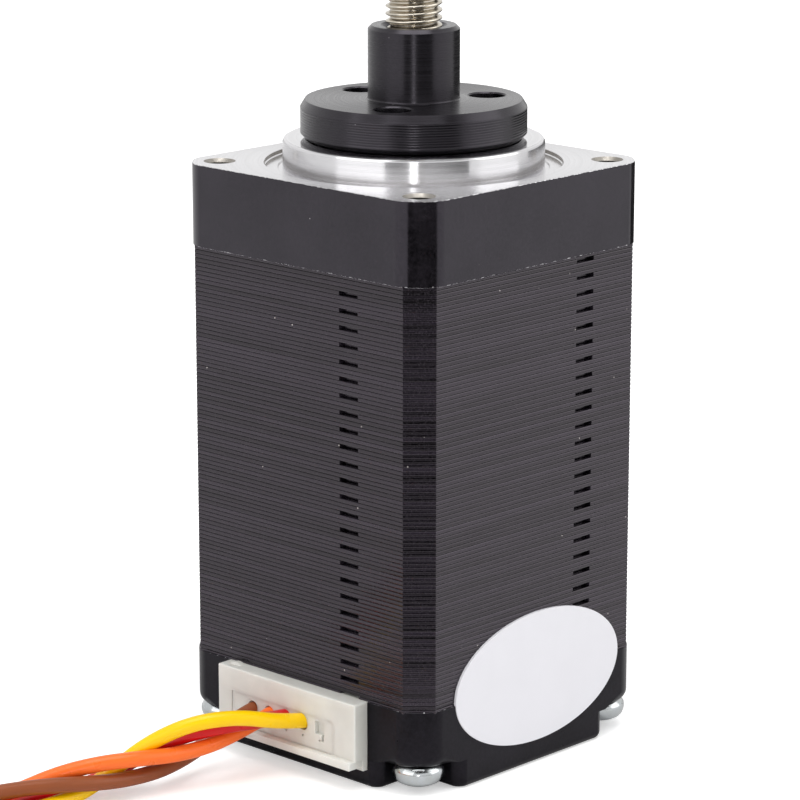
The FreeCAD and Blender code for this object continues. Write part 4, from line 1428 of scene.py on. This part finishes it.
@dataclass
class Connector:
    """White header in the rear cap's window and the plug in it, with five ways of which four are wired."""

    half: float = 8.15
    back: float = 11.9
    front: float = 14.6
    foot: float = 1.6
    top: float = 7.5
    plate_front: float = 15.6
    plate_back: float = 14.03
    plate_foot: float = 2.5
    plate_top: float = 7.55
    plate_edge: float = 0.12
    lip_front: float = 16.25
    lip_back: float = 14.23
    lip_right: float = 8.1
    lip_foot: float = 1.95
    lip_top: float = 2.65
    lip_edge: float = 0.1
    knob_x: float = -6.8
    knob_z: float = 6.45
    knob_radius: float = 1.3
    knob_back: float = 14.33
    knob_front: float = 14.95
    knob_edge: float = 0.15
    mouth_left: float = -6.5
    mouth_right: float = 5.55
    mouth_foot: float = 2.6
    mouth_top: float = 5.5
    mouth_back: float = 12.8
    plug_front: float = 15.54
    plug_back: float = 12.9
    plug_room: float = 0.008
    plug_edge: float = 0.025
    way_height: float = 4.55
    cavity: float = 0.58
    pit: float = 0.1
    pit_height: float = 3.5
    pit_depth: float = 0.5
    slot_depth: float = 0.4
    slots: tuple[tuple[Span, Span], ...] = (((-0.55, -0.55), (0.55, 0.6)), ((0.2, -1.1), (0.5, -0.5)))
    ways: tuple[float, ...] = (-4.0, -2.0, 0.0, 2.0)
    free_way: float = 4.0

    def build(self) -> bpy.types.Object:
        """Mould the header and the plug.

        Returns:
            The plug, which is on the leads.
        """
        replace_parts(self.header(), "connector_header")
        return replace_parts(self.plug(), "plug_housing")

    def header(self) -> bpy.types.Object:
        """Mould the header: its body in the window, its front plate with a knob on top, and its lip.

        Returns:
            The header.
        """
        header = Stock.block((-self.half, -self.front, self.foot), (self.half, -self.back, self.top))
        radius, edge = self.knob_radius, self.knob_edge
        knob = Stock.turned((
            (0, self.knob_back), (radius, self.knob_back), (radius, self.knob_front - edge),
            (radius - edge, self.knob_front), (0, self.knob_front)), steps=64)
        knob.turned_about(90, (1, 0, 0)).moved(self.knob_x, 0, self.knob_z)
        plate = Stock.block(
            (-self.half, -self.plate_front, self.plate_foot), (self.half, -self.plate_back, self.plate_top))
        plate.rounded(self.plate_edge, 3, lambda edge: True)
        lip = Stock.block(
            (-self.half, -self.lip_front, self.lip_foot), (self.lip_right, -self.lip_back, self.lip_top))
        lip.rounded(self.lip_edge, 3, lambda edge: True)
        for part in (knob, plate, lip):
            header.combined(part, Join.WELD)
        mouth = Stock.block(
            (self.mouth_left, -self.plate_front - 3 * OVER, self.mouth_foot),
            (self.mouth_right, -self.mouth_back, self.mouth_top))
        header.combined(mouth, Join.CUT)
        piece = header.piece("header_shell", Body.MOTOR, (NYLON,))
        return piece

    def plug(self) -> bpy.types.Object:
        """Mould the plug that fills the header's mouth, with its ways and the pits under them.

        Returns:
            The plug.
        """
        room, front = self.plug_room, -self.plug_front
        plug = Stock.block(
            (self.mouth_left + room, front, self.mouth_foot + room),
            (self.mouth_right - room, -self.plug_back, self.mouth_top - room))
        plug.rounded(self.plug_edge, 2, lambda edge: True)
        hole = Stock.rod(self.cavity, self.plug_back - OVER, self.plug_front + OVER, steps=40)
        hole.turned_about(90, (1, 0, 0)).moved(z=self.way_height)
        plug.combined(hole.copies([(x, 0, 0) for x in self.ways]), Join.CUT)
        pit = Stock.block(
            (-self.pit, front - OVER, self.pit_height - self.pit),
            (self.pit, front + self.pit_depth, self.pit_height + self.pit))
        plug.combined(pit.copies([(x, 0, 0) for x in (*self.ways, self.free_way)]), Join.CUT)
        for low, high in self.slots:
            slot = Stock.block(
                (self.free_way + low[0], front - OVER, self.way_height + low[1]),
                (self.free_way + high[0], front + self.slot_depth, self.way_height + high[1]))
            plug.combined(slot, Join.CUT)
        piece = plug.piece("lead_plug", Body.MOTOR, (NYLON,))
        return piece


@dataclass(frozen=True)
class Lead:
    """One lead wire: its colour, its layer in the put-away coil and its route from the plug to the coil."""

    colour: str
    finish: Finish
    layer: int
    route: tuple[Point, ...]


LEADS = (
    Lead("red", RED_PVC, 0, (
        (0.0, -14.3, 4.55), (-0.1, -17.8, 4.9), (-1.2, -21.3, 5.05), (-3.5, -24.8, 4.35),
        (-5.8, -27.5, 2.5), (-7.2, -30.5, 1.05), (-7.35, -34.1, 0.95), (-7.5, -38.1, 0.95),
        (-8.9, -44.7, 0.75), (-11.2, -50.4, 0.66), (-14.6, -56.1, 0.75), (-17.5, -62.5, 0.88))),
    Lead("yellow", YELLOW_PVC, 1, (
        (2.0, -14.3, 4.55), (1.7, -17.8, 5.15), (0.4, -21.3, 6.2), (-1.6, -24.9, 6.05),
        (-4.1, -27.5, 4.35), (-5.8, -30.0, 2.1), (-5.95, -33.4, 0.93), (-5.85, -37.7, 0.95),
        (-7.3, -44.7, 0.9), (-9.5, -50.4, 0.98), (-13.15, -56.1, 1.8), (-17.2, -62.5, 2.2))),
    Lead("orange", ORANGE_PVC, 2, (
        (-2.0, -14.3, 4.55), (-1.8, -17.8, 4.1), (-1.9, -21.7, 3.4), (-2.5, -25.5, 3.25),
        (-3.3, -29.2, 3.65), (-4.9, -32.1, 3.6), (-7.3, -34.7, 2.75), (-9.35, -37.9, 1.35),
        (-10.55, -44.7, 0.85), (-12.8, -50.4, 1.1), (-15.8, -56.1, 2.4), (-17.7, -62.5, 3.5))),
    Lead("brown", BROWN_PVC, 3, (
        (-4.0, -14.3, 4.55), (-4.2, -17.9, 3.9), (-4.7, -20.9, 2.15), (-4.7, -23.8, 1.5),
        (-4.15, -27.1, 1.58), (-4.3, -31.2, 1.9), (-5.55, -35.2, 2.42), (-7.2, -39.0, 2.65),
        (-8.9, -45.2, 2.65), (-11.2, -50.4, 2.75), (-14.6, -56.1, 3.5), (-17.5, -62.5, 4.8))),
)


@dataclass
class Leads:
    """Four lead wires that run from the plug to a small coil of their put-away length."""

    diameter: float = 1.3
    exit_y: float = -15.2
    coil_y: float = -68.5
    coil_radius: float = 16.4
    pitch: float = 1.32
    half_turns: float = 1.125
    coil_height: float = 2.9
    middle_layer: float = 1.5
    layer_step: float = 1.33
    points_per_turn: int = 24
    coil_points: int = 53
    tail_angles: tuple[float, ...] = (275, 300, 325)
    tail_fan: tuple[float, ...] = (0.55, 1.4, 2.3)
    tail_fall: tuple[float, ...] = (0.06, 0.45, 0.74)
    tail_spread: float = 0.6
    length: float = 0.302

    def build(self, on_leads: Sequence[bpy.types.Object]) -> None:
        """Args:
            on_leads: the pieces on the leads, such as their plug; not used.
        """
        for lead in LEADS:
            wire = self.wire(lead)
            nodes = [f"lead_wire_{lead.colour}"] + (["lead_coil"] if lead.layer == 0 else [])
            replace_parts(wire, *nodes)

    def wire(self, lead: Lead) -> bpy.types.Object:
        """Draw a wire as one smooth line of round section.

        Args:
            lead: the wire's facts.

        Returns:
            The wire.
        """
        line = bpy.data.curves.new(f"{lead.colour}_lead", "CURVE")
        line.dimensions = "3D"
        line.bevel_depth = self.diameter / 2 * MM
        line.bevel_resolution = 6
        line.resolution_u = 8
        line.use_fill_caps = True
        spline = line.splines.new("NURBS")
        points = [*lead.route, *self.coil(lead.layer), *self.tail(lead.layer)]
        spline.points.add(len(points) - 1)
        for knot, point in zip(spline.points, points):
            knot.co = (*(value * MM for value in point), 1.0)
        spline.order_u = 3
        spline.use_endpoint_u = True
        line.materials.append(lead.finish.material())
        item = placed(f"{lead.colour}_lead", line)
        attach(item, Body.MOTOR.value)
        log.info("%s: %d points", item.name, len(points))
        return item

    def coil(self, layer: int) -> list[Point]:
        """Work out a wire's turns, which wind inwards in the wire's own layer.

        Args:
            layer: the layer's number, from the floor up.

        Returns:
            The points of the turns.
        """
        points = []
        for index in range(self.coil_points):
            turns = index / self.points_per_turn
            radius = self.coil_radius + self.pitch * (self.half_turns - turns)
            points.append(self.coil_point(radius, 180 + 360 * turns, self.layer_height(layer)))
        return points

    def tail(self, layer: int) -> list[Point]:
        """Work out a wire's free end, which leaves the coil inwards and falls towards the floor.

        Args:
            layer: the layer's number, from the floor up.

        Returns:
            The points of the free end.
        """
        inner = self.coil_radius - self.pitch * self.half_turns
        top, fall = self.layer_height(layer), self.layer_height(layer) - self.diameter / 2
        return [
            self.coil_point(inner - fan * (layer + self.tail_spread), angle, top - share * fall)
            for angle, fan, share in zip(self.tail_angles, self.tail_fan, self.tail_fall)
        ]

    def layer_height(self, layer: int) -> float:
        """Give the height of a layer's middle."""
        return self.coil_height + (layer - self.middle_layer) * self.layer_step

    def coil_point(self, radius: float, angle: float, height: float) -> Point:
        """Give a point by its radius and angle about the coil's middle."""
        turn = math.radians(angle)
        return radius * math.cos(turn), self.coil_y + radius * math.sin(turn), height


@dataclass
class InnerPieces:
    """Pieces whose shape is right as drawn and which only get their surface."""

    finishes: dict[str, Finish] = field(default_factory=lambda: {
        "front_winding_insulator": INSULATOR, "rear_winding_insulator": INSULATOR, "phase_a_coils": COPPER,
        "phase_b_coils": COPPER, "front_bearing_outer_race": GROUND, "front_bearing_inner_race": GROUND,
        "front_ball_set": GROUND, "rear_bearing_outer_race": GROUND, "rear_bearing_inner_race": GROUND,
        "rear_ball_set": GROUND, "bearing_shields": ZINC, "wave_washer": ZINC, "terminal_board": BOARD,
        "rotor_shaft": GROUND, "rotor_cups": ROTOR_STEEL, "rotor_magnets": NICKEL, "rotor_spacer": SPACER,
        "bearing_shims": GROUND, "header_pins": TIN, "crimp_contacts": TIN, "tinned_ends": TIN,
        "coil_tie": TIE_PLASTIC,
    })

    def dress(self) -> None:
        """Give each piece its finish."""
        for node, finish in self.finishes.items():
            mesh = frame["nodes"][node].data
            mesh.materials.clear()
            mesh.materials.append(finish.material())
            log.info("%s: %s", node, finish.name)


@dataclass(frozen=True)
class Card:
    """A grey card that only the motor's gloss sees, as a ring's sector round the screw axis, in metres.

    The sector's angles are in degrees, to the right of the camera as seen from the motor's top.
    """

    name: str
    tone: str
    reach: Span
    sector: Span
    height: float = 0.0002


@dataclass(frozen=True)
class Softbox:
    """A square soft lamp that looks at the motor: its place and width in metres and its power in watts."""

    name: str
    place: Point
    size: float
    power: float


@dataclass
class Studio:
    """Camera, lamps, cards, floor and background, in metres and degrees, with the lens in millimetres."""

    place: Point = (0.201235, -0.212326, 0.102391)
    turn: float = 43.7163
    drop: float = 14.4899
    lens: float = 159.015
    sensor: float = 36.0
    shift: Span = (0.0021, 0.03507)
    clip: Span = (0.01, 20.0)
    aim: Point = (0, 0, 0.03)
    room_light: float = 0.45
    floor_half: float = 4.0
    floor_glow: float = 0.42
    cards: tuple[Card, ...] = (
        Card("black_card", "#050505", (0.045, 1.5), (-25.0, 48.0)),
        Card("back_card", "#3c3c3c", (0.06, 1.5), (117.0, 178.0)),
        Card("ceiling_card", "#2a2a2a", (0.55, 2.0), (-70.0, 70.0), 1.2),
    )
    lamps: tuple[Softbox, ...] = (
        Softbox("left_softbox", (-0.07, -0.93, 0.5), 0.9, 4.0),
        Softbox("right_softbox", (0.77, 0.53, 0.5), 0.9, 3.4),
        Softbox("top_softbox", (0.1, -0.1, 1.0), 0.8, 6.5),
        Softbox("front_lamp", (0.5, -0.53, 0.06), 0.05, 0.34),
    )

    def build(self) -> None:
        """Set the camera, the background, the floor, the cards and the lamps."""
        bpy.context.scene.view_settings.view_transform = "Standard"
        self.camera()
        self.background()
        self.floor()
        for card in self.cards:
            self.lay(card)
        for lamp in self.lamps:
            self.hang(lamp)

    def camera(self) -> None:
        """Set the camera at the photograph's place."""
        view = bpy.data.cameras.new("camera")
        view.lens = self.lens
        view.sensor_width = self.sensor
        view.shift_x, view.shift_y = self.shift
        view.clip_start, view.clip_end = self.clip
        camera = placed("camera", view)
        camera.location = self.place
        camera.rotation_euler = (math.radians(90 - self.drop), 0.0, math.radians(self.turn))
        bpy.context.scene.camera = camera

    def background(self) -> None:
        """Show white behind the motor and in its gloss, and light it by a softer grey."""
        world = bpy.data.worlds.new("studio")
        world.use_nodes = True
        bpy.context.scene.world = world
        nodes = Nodes(world.node_tree)
        rays = nodes.add("ShaderNodeLightPath").outputs
        shown = rays["Is Camera Ray"]
        for kind in ("Is Glossy Ray", "Is Transmission Ray"):
            shown = nodes.add("ShaderNodeMath", {0: shown, 1: rays[kind]}, operation="MAXIMUM").outputs[0]
        level = nodes.add("ShaderNodeMapRange", {"Value": shown, "To Min": self.room_light, "To Max": 1.0})
        nodes.fill(nodes.tree.nodes["Background"], {
            "Color": to_linear("#ffffff"), "Strength": level.outputs["Result"]})

    def floor(self) -> None:
        """Lay a white floor that keeps a soft shadow."""
        graph = Graph("white_floor")
        rays = graph.add("ShaderNodeLightPath")
        glow = graph.add("ShaderNodeMath", {
            0: rays.outputs["Is Camera Ray"], 1: self.floor_glow}, operation="MULTIPLY")
        graph.dress(
            Base_Color=to_linear("#f2f2f2"), Roughness=0.9, Specular_IOR_Level=0.1,
            Emission_Color=to_linear("#ffffff"), Emission_Strength=glow.outputs[0])
        sheet = Stock()
        bmesh.ops.create_grid(sheet.mesh, x_segments=1, y_segments=1, size=self.floor_half)
        self.stage("floor", sheet, graph)

    def lay(self, card: Card) -> None:
        """Lay a card on the floor or hang it above.

        Args:
            card: the card's facts.
        """
        graph = Graph(card.name)
        graph.dress(Base_Color=to_linear(card.tone), Roughness=1.0, Specular_IOR_Level=0.0)
        sheet = Stock()
        ends = [sheet.mesh.verts.new((radius, 0.0, card.height)) for radius in card.reach]
        edge = sheet.mesh.edges.new(ends)
        first, last = (math.radians(self.turn - 90 + angle) for angle in card.sector)
        bmesh.ops.rotate(sheet.mesh, verts=ends, matrix=Matrix.Rotation(first, 3, "Z"))
        bmesh.ops.spin(sheet.mesh, geom=[*ends, edge], axis=(0, 0, 1), angle=last - first, steps=48)
        item = self.stage(card.name, sheet, graph)
        item.visible_camera = False
        item.visible_diffuse = False
        item.visible_shadow = False

    def stage(self, name: str, sheet: Stock, graph: Graph) -> bpy.types.Object:
        """Put a sheet into the studio; the sheet is used up.

        Args:
            name: its name.
            sheet: its mesh, in metres.
            graph: its material's tree.

        Returns:
            The sheet's object.
        """
        mesh = sheet.drafted(name)
        sheet.mesh.free()
        mesh.materials.append(graph.material)
        item = placed(name, mesh)
        return item

    def hang(self, lamp: Softbox) -> None:
        """Hang a lamp and turn it to the motor.

        Args:
            lamp: the lamp's facts.
        """
        light = bpy.data.lights.new(lamp.name, "AREA")
        light.size = lamp.size
        light.energy = lamp.power
        item = placed(lamp.name, light)
        item.location = lamp.place
        item.rotation_euler = (Vector(self.aim) - Vector(lamp.place)).to_track_quat("-Z", "Y").to_euler()


def main() -> None:
    """Build the studio, the leads and the motor's pieces in order."""
    logging.basicConfig(level=logging.INFO, format="%(relativeCreated)6d ms  %(message)s")
    nodes = frame["nodes"]
    Studio().build()
    InnerPieces().dress()
    plug = Connector().build()
    Leads().build([plug, nodes["crimp_contacts"], nodes["coil_tie"], nodes["tinned_ends"]])
    Core().build()
    FrontCap().build()
    RearCap().build()
    CaseScrews().build()
    Label().build()
    FlangeNut().build()
    LeadScrew().build()


if __name__ == "__main__":
    main()
